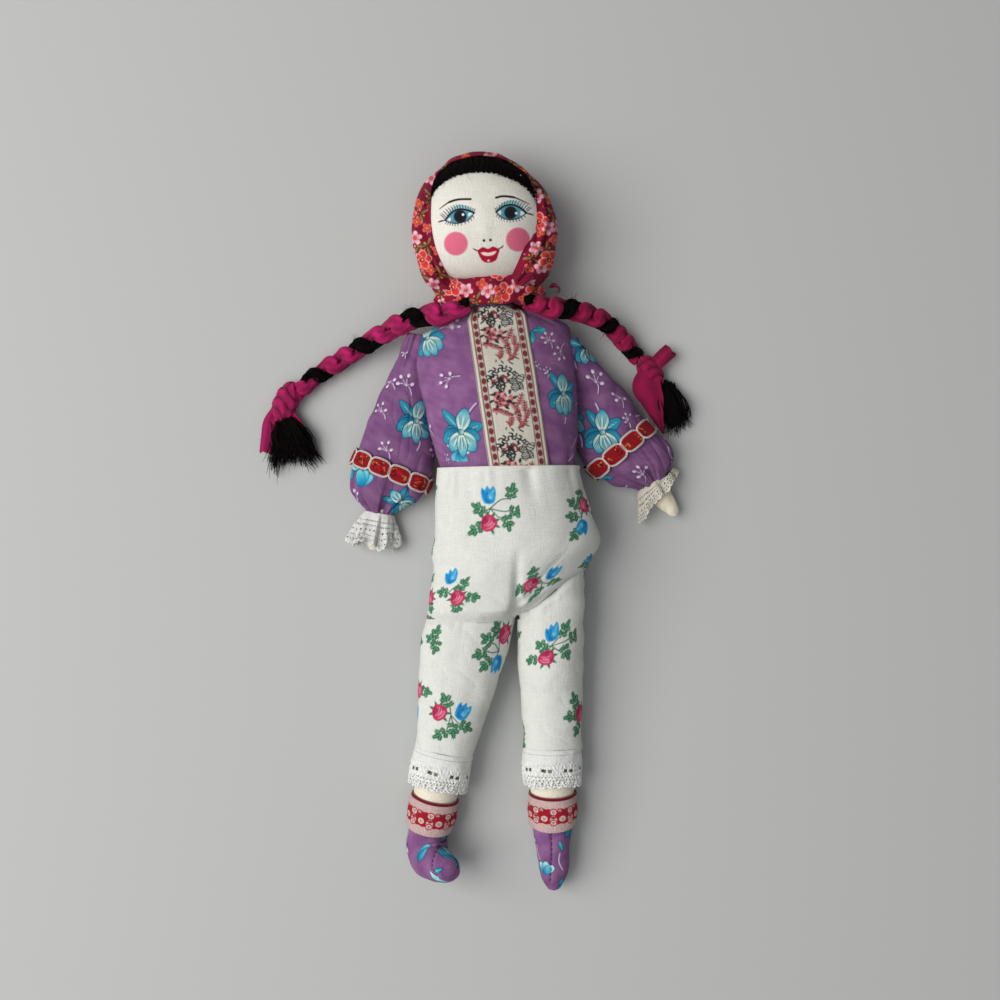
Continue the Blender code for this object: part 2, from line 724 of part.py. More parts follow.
def make_head(doll):
    """Head, hair, hood and the scarf's ends, all about the neck's pivot."""
    frame = doll.frame("head_frame", neck_pivot())
    middle = Vector((HEAD_SHIFT, HEAD_LIFT, HOOD_DEPTH / 2 - FLAT_CUT - NECK_HEIGHT))
    hood = Vector((HOOD_WIDTH / 2, HOOD_LENGTH / 2, HOOD_DEPTH / 2))
    wall = Vector((1, 1, 1))
    hair = hood - wall * (CLOTH + GAP)
    skull = hair - wall * (HAIR_THICK + GAP)
    face = Vector((skull.x, skull.y, skull.z + FACE_BULGE))
    face_middle = middle + Vector((0, 0, FACE_BULGE))

    socket = doll.cutter("neck_socket", ball([NECK_RADIUS + GAP] * 3, (0, 0, 0), 20, 12), frame)
    head = doll.add("head", ball(face, face_middle, 20, 14), "calico", frame)
    boolean(head, socket)

    head_room = doll.cutter("head_room", ball(face + wall * GAP, face_middle, 20, 14), frame)
    hood_room = doll.cutter("hood_room", ball(hood + wall * GAP, middle, 22, 15), frame)
    hood_inside = doll.cutter("hood_inside", ball(hood - wall * CLOTH, middle, 22, 15), frame)
    opening_low = middle.z + OPENING_DEPTH
    face_opening = doll.cutter("face_opening", tube_z(
        (middle.x, middle.y - FACE_DROP), FACE_WIDTH / 2, FACE_LENGTH / 2, opening_low), frame)
    hood_opening = doll.cutter("hood_opening", tube_z(
        (middle.x, middle.y + HOOD_OPENING_RISE), FACE_WIDTH / 2, HOOD_OPENING / 2, opening_low), frame)
    wide_neck = NECK_RADIUS + 2 * BAND_EASE
    neck_opening = doll.cutter("neck_opening", skin(along_y([
        (-HOOD_LENGTH / 2, wide_neck, wide_neck, 0, 0, 0), (NECK_RADIUS, wide_neck, wide_neck, 0, 0, 0)
    ])), frame)

    wool = doll.add("hair", ball(hair, middle, 22, 15), "wool", frame)
    scarf = doll.add("headscarf", ball(hood, middle, 22, 15), "scarf_print", frame)
    for piece, cuts in (
        (wool, (head_room, face_opening, neck_opening)),
        (scarf, (hood_inside, face_opening, hood_opening, neck_opening, doll.table)),
    ):
        for cut in cuts:
            boolean(piece, cut)

    band_rows = [
        (place * BAND_LENGTH / 2, share * BAND_WIDTH / 2, share * BAND_DEPTH / 2, 0.0, 0.0, 0.0)
        for place, share in BAND_shares
    ]
    ends = doll.add("scarf_ends", skin(along_y(band_rows, 20)), "scarf_print", frame)
    knot = doll.cutter("scarf_knot", ball(
        (SCARF_KNOT * 0.6, SCARF_KNOT / 2, SCARF_KNOT * 0.4),
        (0, -BAND_LENGTH / 4, -BAND_DEPTH * 0.36), 12, 8), frame)
    hole = NECK_RADIUS + BAND_EASE
    neck_room = doll.cutter("neck_room", skin(along_y([
        (-BAND_LENGTH - SCARF_KNOT, hole, hole, 0, 0, 0), (BAND_LENGTH + SCARF_KNOT, hole, hole, 0, 0, 0)
    ])), frame)
    boolean(ends, knot, "UNION")
    for cut in (hood_room, head_room, neck_room, doll.table):
        boolean(ends, cut)
    return frame


def tube_z(place, half_width, half_length, low):
    """An upright oval cutter, open upwards past the head."""
    rings = [
        ellipse(Vector((place[0], place[1], z)), Vector((1, 0, 0)), Vector((0, 1, 0)), half_width, half_length, 24)
        for z in (low, low + HOOD_DEPTH)
    ]
    return skin(rings)


def make_braid(doll, name, side):
    """One braid with its tie and tassel, from under the scarf to the table."""
    root = Vector(side["braid_root"])
    frame = doll.frame(f"{name}_braid_frame", root)
    route = [Vector(p) for p in smooth(side["braid_route"], 15)]
    sizes = [s[0] * BRAID_THICK / 2 for s in smooth([(s,) for s in BRAID_shares], 15)]
    doll.add(f"{name}_braid", skin(along_route(route, sizes, 10, 0.85)), "magenta_cloth", frame)

    heading = Vector((math.cos(side["tie_heading"]), math.sin(side["tie_heading"]), 0))
    knot_half = KNOT_SIZE / 2
    knot_place = route[-1] + (route[-1] - route[-2]).normalized() * (knot_half + GAP)
    tail_route = [knot_place + Vector(p) for p in smooth(side["tail_route"], 7)]
    tail_sizes = [s[0] * side["tail_width"] / 2 for s in smooth([(s,) for s in TAIL_shares], 7)]
    knot = doll.add(f"{name}_braid_tie", ball((knot_half, knot_half * 0.92, knot_half * 0.86), knot_place, 14, 8),
                    "magenta_cloth", frame)
    strip = along_route(tail_route, tail_sizes, 8, 1.0)
    for ring, point, size in zip(strip, tail_route, tail_sizes):
        for spot in ring:
            spot.z = point.z + (spot.z - point.z) * TAIL_THICK / 2 / size
    tail = doll.cutter(f"{name}_tie_tail", skin(strip), frame)
    boolean(knot, tail, "UNION")

    fall = Vector((math.cos(side["tassel_heading"]), math.sin(side["tassel_heading"]), 0))
    across = Vector((-fall.y, fall.x, 0))
    start = knot_place + heading * (knot_half + GAP)
    start.z = TASSEL_DEPTH / 2 - root.z
    rings = [
        ellipse(start + fall * (place * side["tassel_length"]), across, Vector((0, 0, 1)),
                width * side["tassel_width"] / 2, depth * TASSEL_DEPTH / 2, 12)
        for place, width, depth in smooth(TASSEL_shares, 7)
    ]
    doll.add(f"{name}_braid_tassel", skin(rings), "wool", frame)


def sleeve_rows(side, count=12):
    """(y, half width, half depth, x, z) of a sleeve in the arm's frame, whose zero is the shoulder."""
    rows = []
    for place, width, depth, lift, sway in smooth(SLEEVE_shares, count):
        half_depth = depth * SLEEVE_DEPTH / 2
        low = resting(half_depth)
        height = low + lift * (SHOULDER_HEIGHT - low)
        ramp = min(max((place - GATHER_START_share) / (1.0 - GATHER_START_share), 0.0), 1.0)
        x = side["side"] * sway * SLEEVE_WIDTH + side["gather_shift"] * ramp * ramp * (3 - 2 * ramp)
        rows.append((
            -place * side["sleeve_length"], width * SLEEVE_WIDTH / 2, half_depth, x, height - SHOULDER_HEIGHT,
        ))
    return rows


def make_arm(doll, name, side):
    """Calico arm, sleeve, ribbon trim, lace cuff, hand and the stitches at the shoulder."""
    place = shoulder(side)
    frame = doll.frame(f"{name}_arm_frame", place, side["arm_angle"])
    length = side["sleeve_length"]
    rows = sleeve_rows(side)
    wrist_y = -(length - WRIST_INSET)
    wrist_row = read_at(rows, wrist_y)
    wrist = Vector((wrist_row[3], wrist_y, wrist_row[4]))

    arm_rows = []
    for along, radius in smooth(ARM_shares, 9):
        y = -along * (length - WRIST_INSET - WRIST_RADIUS - GAP) / ARM_shares[-1][0] if along > 0 else -along * length
        row = read_at(rows, y)
        size = radius * ARM_RADIUS
        arm_rows.append((y, size, size, row[3] * (1.0 if along > 0 else 0.0), row[4], 0.0))
    doll.add(f"{name}_arm", skin(along_y(arm_rows, 14)), "calico", frame)

    sleeve = doll.add(f"{name}_sleeve", skin(along_y(level(rows), 18), closed=False), "purple_print", frame)
    thicken(sleeve, CLOTH)
    boolean(sleeve, doll.blouse_room)
    boolean(sleeve, doll.table)
    armhole = doll.cutter(f"{name}_armhole", skin(along_y([
        (row[0], ARM_RADIUS + GAP, ARM_RADIUS + GAP, row[3], row[4], 0.0) for row in arm_rows
    ], 14)), frame)
    blouse = bpy.data.objects["bodice"]
    boolean(blouse, armhole)

    slope = side["side"] * side["trim_slope"]
    rings = []
    for step in range(3):
        middle = -side["trim_place"] + (0.5 - step / 2) * TRIM_WIDTH
        ring = []
        for k in range(18):
            turn = 2 * math.pi * k / 18
            y = middle
            for _ in range(3):
                row = read_at(rows, y)
                x = row[3] + (row[1] + TRIM_EASE + TRIM_THICK) * math.cos(turn)
                y = middle + slope * (x - row[3])
            z = row[4] + (row[2] + TRIM_EASE + TRIM_THICK) * math.sin(turn)
            ring.append(Vector((x, y, z)))
        rings.append(ring)
    trim = doll.add(f"{name}_sleeve_trim", skin(rings, closed=False), "red_trim", frame)
    thicken(trim, TRIM_THICK)
    boolean(trim, doll.blouse_room)
    boolean(trim, doll.table)

    cuff_rows = []
    for along, width, depth in smooth(CUFF_shares, 4):
        half_depth = depth * CUFF_DEPTH / 2
        cuff_rows.append((
            -length - GAP - along * side["cuff_length"], width * CUFF_WIDTH / 2, half_depth,
            side["gather_shift"] + along * side["cuff_bend"], resting(half_depth) - SHOULDER_HEIGHT, 0.0,
        ))
    cuff = doll.add(f"{name}_lace_cuff", skin(along_y(cuff_rows, 16), closed=False), "lace", frame)
    thicken(cuff, LACE_THICK)
    boolean(cuff, doll.table)

    hand_frame = doll.frame(f"{name}_hand_frame", wrist)
    hand_frame.parent = frame
    rest = CUFF_DEPTH / 2 - FLAT_CUT - SHOULDER_HEIGHT - wrist.z
    hand_rows = []
    for turn in (80, 50, 20):
        angle = math.radians(turn)
        radius = WRIST_RADIUS * math.cos(angle)
        hand_rows.append((WRIST_RADIUS * math.sin(angle), radius, radius, 0.0, 0.0, 0.0))
    for along, width, depth in smooth(HAND_shares, 7):
        hand_rows.append((
            -along * HAND_LENGTH, width * HAND_WIDTH / 2, depth * HAND_DEPTH / 2,
            along * side["hand_bend"], rest * min(along * 2, 1.0), 0.0,
        ))
    doll.add(f"{name}_hand", skin(along_y(hand_rows, 12)), "calico", hand_frame)

    seam_frame = doll.frame(f"{name}_shoulder_frame", place, BODY_TILT)
    ring = ARM_RADIUS * 0.64
    out = math.sqrt(ARM_RADIUS ** 2 - ring ** 2) + GAP + THREAD / 2
    centre = (-side["side"] * out, 0, 0)
    doll.add(f"{name}_shoulder_stitching", torus(centre, (1, 0, 0), ring, THREAD / 2, 14, 6), "thread", seam_frame)


def leg_rows(side, slope):
    """(y, half width, half depth, x, z, slope) of a calico leg in the leg's frame, zero at the hip."""
    rows = []
    ankle = side["leg_length"] - ANKLE_RADIUS - GAP
    for place, width, depth, lift, lean in smooth(LEG_shares, 11):
        half_depth = max(depth * LEG_DEPTH / 2, HIP_SEAM / 2)
        low = half_depth + ANKLE_BAND_THICK + TRIM_GAP - FLAT_CUT
        height = low + max(lift, 0.0) * (HIP_HEIGHT - low)
        rows.append((
            -GAP - HIP_SEAM / 2 - place * (ankle - HIP_SEAM / 2), width * LEG_WIDTH / 2, half_depth, 0.0,
            height - HIP_HEIGHT, slope * max(lean, 0.0),
        ))
    return rows


def make_leg(doll, name, side):
    """Calico leg, trouser leg, hem lace, ankle band and shoe."""
    frame = doll.frame(f"{name}_leg_frame", side["hip"], side["leg_angle"])
    right, left = hip_points()
    seam_slope = math.tan(math.atan2(left.y - right.y, left.x - right.x) - side["leg_angle"])
    rows = leg_rows(side, seam_slope)
    narrow = min(1.0, (side["thigh_width"] / 2 - CLOTH - TRIM_GAP) / (LEG_WIDTH / 2))
    rows = [(row[0], row[1] * narrow, *row[2:]) for row in rows]
    doll.add(f"{name}_leg", skin(along_y(rows, 18)), "calico", frame)

    crease_slope = math.tan(side["crease_angle"] - side["leg_angle"])
    cloth_rows = []
    for place, wide, deep, lean in smooth(TROUSER_shares, 7):
        width = side["hem_width"] + (side["thigh_width"] - side["hem_width"]) * wide
        depth = HEM_DEPTH + (THIGH_DEPTH - HEM_DEPTH) * deep
        cloth_rows.append((
            -2 * GAP - place * (side["leg_length"] - side["hem_rise"]), width / 2, depth / 2, 0.0,
            resting(depth / 2) - HIP_HEIGHT, crease_slope * max(lean, 0.0),
        ))
    cloth = doll.add(f"{name}_trouser_leg", skin(along_y(cloth_rows, 20), closed=False), "sprig_print", frame)
    thicken(cloth, CLOTH)
    boolean(cloth, doll.table)

    lace_rows = []
    for place, share in smooth(HEM_LACE_shares, 3):
        half_depth = share * HEM_DEPTH / 2
        lace_rows.append((
            cloth_rows[-1][0] - GAP - place * HEM_LACE_WIDTH, share * side["hem_width"] / 2, half_depth, 0.0,
            resting(half_depth) - HIP_HEIGHT, 0.0,
        ))
    lace = doll.add(f"{name}_hem_lace", skin(along_y(lace_rows, 20), closed=False), "lace", frame)
    thicken(lace, LACE_THICK)
    boolean(lace, doll.table)

    ankle_y = -side["leg_length"]
    ankle_row = rows[-1]
    grow = TRIM_GAP + ANKLE_BAND_THICK
    band_top = ankle_y + ANKLE_BAND_WIDTH - TRIM_GAP
    band_rows = [
        (y, ankle_row[1] + grow, ankle_row[2] + grow, 0.0, ankle_row[4], 0.0)
        for y in (band_top, (band_top + ankle_y) / 2, ankle_y + ANKLE_EASE)
    ]
    band = doll.add(f"{name}_ankle_band", skin(along_y(band_rows, 18), closed=False), "red_ribbon", frame)
    thicken(band, ANKLE_BAND_THICK)
    boolean(band, doll.table)

    shoe_frame = doll.frame(f"{name}_shoe_frame", (0, ankle_y, ankle_row[4]))
    shoe_frame.parent = frame
    route = [Vector((0, 0, 0))]
    sizes = [ANKLE_RADIUS]
    for turn in (25, 52, 78):
        angle = math.radians(turn)
        route.insert(0, Vector((0, ANKLE_RADIUS * math.sin(angle), 0)))
        sizes.insert(0, ANKLE_RADIUS * math.cos(angle))
    foot = [(0.0, 0.0, 0.0, ANKLE_RADIUS)]
    foot += [(*p, s * SHOE_RADIUS) for p, s in zip(side["shoe_route"], side["shoe_shares"])]
    for x, y, z, size in smooth(foot, 10)[1:]:
        route.append(Vector((x, y, z)))
        sizes.append(size)
    shoe = doll.add(f"{name}_shoe", skin(along_route(route, sizes, 14)), "purple_print", shoe_frame)
    boolean(shoe, doll.table)


def build():
    clear_scene()
    doll = Doll()
    paint_all(doll)
    make_body(doll)
    make_neck(doll)
    make_head(doll)
    for name, side in SIDES.items():
        make_braid(doll, name, side)
        make_arm(doll, name, side)
        make_leg(doll, name, side)


build()
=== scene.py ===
import math

import bmesh
import bpy
import numpy as np
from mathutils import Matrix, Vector


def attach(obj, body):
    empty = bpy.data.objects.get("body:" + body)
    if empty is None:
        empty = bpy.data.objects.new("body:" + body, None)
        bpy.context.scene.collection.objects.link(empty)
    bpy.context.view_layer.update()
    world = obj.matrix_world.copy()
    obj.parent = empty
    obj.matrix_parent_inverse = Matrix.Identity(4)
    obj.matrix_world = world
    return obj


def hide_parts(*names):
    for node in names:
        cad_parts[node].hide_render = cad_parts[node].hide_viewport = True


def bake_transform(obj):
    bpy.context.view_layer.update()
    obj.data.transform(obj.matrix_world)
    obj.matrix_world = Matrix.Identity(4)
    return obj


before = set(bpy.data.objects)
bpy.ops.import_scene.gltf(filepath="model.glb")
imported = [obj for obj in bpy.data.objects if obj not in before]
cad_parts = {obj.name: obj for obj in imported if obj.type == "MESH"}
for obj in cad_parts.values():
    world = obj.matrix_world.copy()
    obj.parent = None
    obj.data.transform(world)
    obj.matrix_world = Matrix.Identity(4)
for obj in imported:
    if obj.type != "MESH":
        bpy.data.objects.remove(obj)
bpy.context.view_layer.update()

# The rag doll, dressed. Everything below is worked out in millimetres and written to Blender in metres.
# Cloth is one dense grid for each piece: its print is drawn on the grid's own points, flat, from motifs,
# and the weave is bump in the material.

TAU = 2 * math.pi
MM = 0.001
SIDES = ("right", "left")
SIGN = {"right": -1, "left": 1}

# Camera of the photograph, straight above the lap: its place in millimetres, and its focal length and the
# picture's middle in pixels
CAMERA = np.array([0.84, -44.1, 550.0])
FOCAL = 1257.0
MIDDLE = 500

# The body leans by this much on the table, and the neck is sewn on here
TILT = math.radians(5.2)
NECK = np.array([-3.99, 43.82, 15.0])


# Curves and grids


def curve(rows, t):
    """Smooth reading of rows at places t, counted in rows."""
    rows = np.asarray(rows, float)
    last = len(rows) - 1
    t = np.clip(np.asarray(t, float), 0, last)
    i = np.minimum(t.astype(int), last - 1)
    f = (t - i)[:, None]
    a, b, c, d = (rows[np.clip(i + k, 0, last)] for k in (-1, 0, 1, 2))
    return 0.5 * (2 * b + (c - a) * f + (2 * a - 5 * b + 4 * c - d) * f**2 + (3 * b - a - 3 * c + d) * f**3)


def closed_curve(points, steps):
    """Smooth loop through points, with so many steps from each to the next."""
    n = len(points)
    loop = np.concatenate([points[-2:], points, points[:3]])
    return curve(loop, np.linspace(2, n + 2, steps * n + 1))[:-1]


def even(rows, count, lengths=None):
    """count rows at even distance along a smooth curve; lengths are the columns that measure distance."""
    fine = curve(rows, np.linspace(0, len(rows) - 1, 600))
    track = fine[:, :1] if lengths is None else fine[:, lengths]
    done = np.concatenate([[0], np.cumsum(np.linalg.norm(np.diff(track, axis=0), axis=1))])
    want = np.linspace(0, done[-1], count)
    return np.stack([np.interp(want, done, fine[:, k]) for k in range(fine.shape[1])], axis=1)


def turned(points, place=(0, 0, 0), angle=0.0):
    """Points of a frame turned by angle about Z and set at place."""
    c, s = math.cos(angle), math.sin(angle)
    out = np.array(points, float)
    x, y = out[..., 0].copy(), out[..., 1].copy()
    out[..., 0] = c * x - s * y + place[0]
    out[..., 1] = s * x + c * y + place[1]
    out[..., 2] += place[2]
    return out


def pixels(points):
    """Where points show in the photograph, in its pixels."""
    down = CAMERA[2] - points[..., 2]
    x = MIDDLE + (points[..., 0] - CAMERA[0]) * FOCAL / down
    y = MIDDLE - (points[..., 1] - CAMERA[1]) * FOCAL / down
    return np.stack([x, y], axis=-1)


def spot(px, py, z):
    """The point at height z that shows at a pixel."""
    down = CAMERA[2] - z
    return np.array([CAMERA[0] + (px - MIDDLE) * down / FOCAL, CAMERA[1] + (MIDDLE - py) * down / FOCAL, z])


def unit(vectors):
    """Vectors at length 1."""
    return vectors / np.maximum(np.linalg.norm(vectors, axis=-1, keepdims=True), 1e-9)


def normals(grid, wrap=True):
    """Unit normals of a grid's points, all to the same side."""
    if wrap:
        along = np.roll(grid, -1, axis=1) - np.roll(grid, 1, axis=1)
    else:
        along = np.gradient(grid, axis=1)
    return unit(np.cross(along, np.gradient(grid, axis=0)))


def outward(grid, middle=None):
    """Unit normals of a tube, away from its middle."""
    n = normals(grid)
    away = grid - (grid.mean(axis=(0, 1)) if middle is None else middle)
    return n * np.sign((n * away).sum())


def route_frame(route, above=(0, 0, 1.0)):
    """Unit vectors along a route, across it and up from it."""
    heading = unit(np.gradient(route, axis=0))
    across = unit(np.cross(heading, above))
    return heading, across, np.cross(across, heading)


def swell(grid, n, height):
    """Raise a grid along its normals by a height for each point."""
    grid += n * height[..., None]


def rows_share(grid):
    """How far down a grid each of its rows is, 0 to 1, as a column."""
    return np.linspace(0, 1, len(grid))[:, None]


def near_line(seen, line):
    """Distance of points, in pixels, to the nearest of a line's points."""
    best = np.full(seen.shape[:2], 1e9)
    for q in line:
        best = np.minimum(best, np.hypot(seen[..., 0] - q[0], seen[..., 1] - q[1]))
    return best


def waves(points, size, seed=0, octaves=3):
    """Smooth noise from a few crossed waves, about -1 to 1."""
    r = np.random.default_rng(seed)
    total = np.zeros(points.shape[:-1])
    for octave in range(octaves):
        for _ in range(5):
            way = r.normal(size=points.shape[-1])
            way /= np.linalg.norm(way)
            total += np.sin(points @ way * TAU / (size * r.uniform(0.7, 1.4)) + r.uniform(0, TAU)) / 2**octave
        size *= 0.5
    return total / 3.4


def ring_angles(count, half_width, half_depth, back=0.4):
    """Angles round a section from underneath, close together on top and wide apart below."""
    fine = np.linspace(-math.pi / 2, 1.5 * math.pi, 2001)
    speed = np.hypot(half_width * np.sin(fine), half_depth * np.cos(fine))
    speed *= np.where(np.sin(fine) > -0.35, 1.0, back)
    done = np.concatenate([[0], np.cumsum((speed[1:] + speed[:-1]) / 2)])
    return np.interp(np.linspace(0, done[-1], count + 1)[:-1], done, fine)


def loft(rows, count, around, back=0.4, lengths=None):
    """A tube through rows of (y, half width, half depth, x, z, slope), with its flat coordinates."""
    rows = even(rows, count, lengths)
    angles = ring_angles(around, rows[:, 1].max(), rows[:, 2].max(), back)
    c, s = np.cos(angles), np.sin(angles)
    x = rows[:, 1:2] * c
    grid = np.stack([rows[:, 3:4] + x, rows[:, 0:1] + rows[:, 5:6] * x, rows[:, 4:5] + rows[:, 2:3] * s],
                    axis=-1)
    return grid, angles


def flat_of(grid, angles=None):
    """Flat coordinates of a tube's grid: round it from the top middle, to the right, and along it."""
    step = np.linalg.norm(np.diff(grid, axis=1), axis=-1)
    s = np.concatenate([np.zeros((len(grid), 1)), np.cumsum(step, axis=1)], axis=1)
    top = grid.shape[1] // 2 if angles is None else int(np.argmin(abs(angles - math.pi / 2)))
    s = s[:, top : top + 1] - s
    rise = np.linalg.norm(np.diff(grid[:, top], axis=0), axis=-1)
    t = -np.concatenate([[0], np.cumsum(rise)])[:, None] + np.zeros_like(s)
    return s, t


def rest(grid, floor=0.1):
    """Press a grid flat where it would sink below the table."""
    grid[..., 2] = np.where(grid[..., 2] < floor, floor + 0.02 * (grid[..., 2] - floor), grid[..., 2])
    return grid


def hem(grid, paint, thick, back=3.0, ends=(True, True)):
    """A grid and its paint with the open ends turned in, so that the cloth shows thickness and inside."""
    first, last = [], []
    for end, wanted, rows in ((0, ends[0], first), (-1, ends[1], last)):
        if not wanted:
            continue
        edge, inner = grid[end], grid[4 if end == 0 else -5]
        middle = edge.mean(axis=0)
        way, inward = unit(inner - edge), unit(middle - edge)
        rows.append(edge + inward * thick * 0.5 - way * thick * 0.25)
        rows.append(edge + inward * thick + way * thick * 0.3)
        rows.append(edge + inward * thick * 1.2 + way * back)
    closed = np.concatenate([np.array(first[::-1]).reshape(-1, *grid.shape[1:]), grid,
                             np.array(last).reshape(-1, *grid.shape[1:])])
    return closed, np.pad(paint, ((len(first), len(last)), (0, 0), (0, 0)), "edge")


# Paint: motifs drawn on flat coordinates


def rgb(*values):
    """A colour from its values of 0 to 255."""
    return np.array(values, float) / 255.0


def plain(grid, *values):
    """One colour for every point of a grid."""
    return np.tile(rgb(*values), (*grid.shape[:2], 1))


def linear(colour):
    """A colour of the picture as Blender's linear one."""
    return np.where(colour <= 0.04045, colour / 12.92, ((np.maximum(colour, 0) + 0.055) / 1.055) ** 2.4)


class Paint:
    """Colours on points with flat coordinates, in millimetres or pixels."""

    def __init__(self, x, y, ground):
        self.shape = x.shape
        self.x, self.y = x.ravel(), y.ravel()
        self.colour = np.tile(np.asarray(ground, float), (self.x.size, 1))
        self.soft = 0.3
        self.at(0, 0, reach=1e9)

    def at(self, x, y, turn=0.0, size=1.0, flip=1.0, reach=30.0):
        """Draw from here on around a place, turned and sized."""
        self.size = size
        self.found = np.flatnonzero((abs(self.x - x) < reach * size) & (abs(self.y - y) < reach * size))
        dx, dy = self.x[self.found] - x, self.y[self.found] - y
        c, s = math.cos(turn), math.sin(turn)
        self.u = (c * dx + s * dy) / size * flip
        self.v = (-s * dx + c * dy) / size
        return self

    def put(self, cover, colour):
        """Lay a colour over the points found, by its cover of 0 to 1."""
        cover = np.clip(cover, 0, 1)[:, None]
        colour = np.asarray(colour, float)
        self.colour[self.found] += (colour - self.colour[self.found]) * cover

    def edge(self, inside):
        """Cover of a shape by how far inside its edge a point is."""
        return np.clip(inside * self.size / self.soft + 0.5, 0, 1)

    def oval(self, x, y, a, b, turn=0.0, colour=None, rim=None, rim_width=0.25, tip=None, power=1.0,
             point=0.0):
        """An oval or petal; tip is its colour at the far end, point draws its ends to a point."""
        c, s = math.cos(turn), math.sin(turn)
        u = c * (self.u - x) + s * (self.v - y)
        v = -s * (self.u - x) + c * (self.v - y)
        for grow, paint in ((rim_width, rim), (0.0, colour)):
            if paint is None:
                continue
            aa, bb = a + grow, b + grow
            half = bb * (1 - point * np.clip(np.abs(u) / aa, 0, 1) ** 1.5)
            far = np.sqrt((u / aa) ** 2 + (v / np.maximum(half, 1e-3)) ** 2)
            cover = self.edge((1 - far) * min(aa, bb))
            if grow == 0.0 and tip is not None:
                share = (np.clip(u / a * 0.5 + 0.5, 0, 1) ** power)[:, None]
                paint = paint + (tip - paint) * share
            self.put(cover, paint)
        return self

    def line(self, points, width, colour, smooth=True, taper=False):
        """A stroke through points, smooth or straight, thinner at its ends if it tapers."""
        points = np.array(points, float)
        if smooth and len(points) > 2:
            points = curve(points, np.linspace(0, len(points) - 1, 5 * len(points)))
        best = np.full(self.u.shape, 1e9)
        where = np.zeros(self.u.shape)
        for k, (p, q) in enumerate(zip(points, points[1:])):
            d = q - p
            t = np.clip(((self.u - p[0]) * d[0] + (self.v - p[1]) * d[1]) / max(d @ d, 1e-9), 0, 1)
            far = np.hypot(self.u - p[0] - t * d[0], self.v - p[1] - t * d[1])
            where = np.where(far < best, (k + t) / (len(points) - 1), where)
            best = np.minimum(best, far)
        half = width / 2
        if taper:
            half = half * np.clip(np.sin(np.clip(where, 0, 1) * math.pi) ** 0.6, 0.15, 1)
        self.put(self.edge(half - best), colour)
        return self

    def area(self, points, colour, smooth=True, rim=None, rim_width=0.3):
        """A closed outline, filled."""
        points = np.array(points, float)
        if smooth:
            points = closed_curve(points, 6)
        inside = np.zeros(self.u.shape, bool)
        best = np.full(self.u.shape, 1e9)
        for p, q in zip(points, np.roll(points, -1, axis=0)):
            d = q - p
            t = np.clip(((self.u - p[0]) * d[0] + (self.v - p[1]) * d[1]) / max(d @ d, 1e-9), 0, 1)
            best = np.minimum(best, np.hypot(self.u - p[0] - t * d[0], self.v - p[1] - t * d[1]))
            crosses = (p[1] > self.v) != (q[1] > self.v)
            at = p[0] + (self.v - p[1]) * d[0] / (d[1] if abs(d[1]) > 1e-9 else 1e-9)
            inside ^= crosses & (self.u < at)
        signed = np.where(inside, best, -best)
        if rim is not None:
            self.put(self.edge(signed + rim_width), rim)
        self.put(self.edge(signed), colour)
        return self

    def result(self):
        """The colours in the grid's shape."""
        return self.colour.reshape(*self.shape, 3)


# Pieces


def piece(name, grid, colour, material, body, nodes=(), wrap=True, closed=False, uv=None,
          keep=None, thickness=0.0):
    """A mesh from a grid of points, (rows, columns, 3), with its paint and its flat coordinates."""
    rows, cols = grid.shape[:2]
    span = cols if wrap else cols - 1
    i, j = np.meshgrid(np.arange(rows - 1), np.arange(span), indexing="ij")
    i, j = i.ravel(), j.ravel()
    k = (j + 1) % cols
    faces = np.stack([i * cols + j, i * cols + k, (i + 1) * cols + k, (i + 1) * cols + j], axis=1)
    if keep is not None:
        left = keep[: rows - 1, :span].ravel()
        faces, i, j = faces[left], i[left], j[left]
    points = grid.reshape(-1, 3)
    s, t = flat_of(grid) if uv is None else uv
    wide = np.concatenate([s, s[:, -1:] + (s[:, -1:] - s[:, -2:-1])], axis=1)
    tall = np.concatenate([t, t[:, -1:]], axis=1)
    flat = np.stack([np.stack([wide[a, b], tall[a, b]], axis=-1)
                     for a, b in ((i, j), (i, j + 1), (i + 1, j + 1), (i + 1, j))], axis=1).reshape(-1, 2)
    ends = [np.arange(cols)[::-1], np.arange(cols) + (rows - 1) * cols] if closed else []
    if wrap and keep is None:
        # Turn the faces outwards
        a, b, c, d = (points[faces[:, k]] for k in range(4))
        sign = np.einsum("ij,ij->", np.cross(c - a, d - b), (a + c) / 2 - points.mean(axis=0))
        if sign < 0:
            faces = faces[:, ::-1]
            flat = flat.reshape(-1, 4, 2)[:, ::-1].reshape(-1, 2)
            ends = [e[::-1] for e in ends]
    mesh = bpy.data.meshes.new(name)
    sizes = np.concatenate([np.full(len(faces), 4), [len(e) for e in ends]]).astype(np.int32)
    loops = np.concatenate([faces.ravel(), *ends]).astype(np.int32)
    mesh.vertices.add(len(points))
    mesh.vertices.foreach_set("co", (points * MM).astype(np.float32).ravel())
    mesh.loops.add(len(loops))
    mesh.loops.foreach_set("vertex_index", loops)
    mesh.polygons.add(len(sizes))
    mesh.polygons.foreach_set("loop_start", (np.cumsum(sizes) - sizes).astype(np.int32))
    mesh.polygons.foreach_set("loop_total", sizes)
    layer = mesh.uv_layers.new(name="cloth")
    full = np.zeros((len(loops), 2), np.float32)
    full[: len(flat)] = flat
    layer.data.foreach_set("uv", full.ravel())
    tint_points(mesh, np.asarray(colour).reshape(-1, 3))
    mesh.update()
    mesh.validate()
    return place_piece(name, mesh, material, body, nodes, thickness)


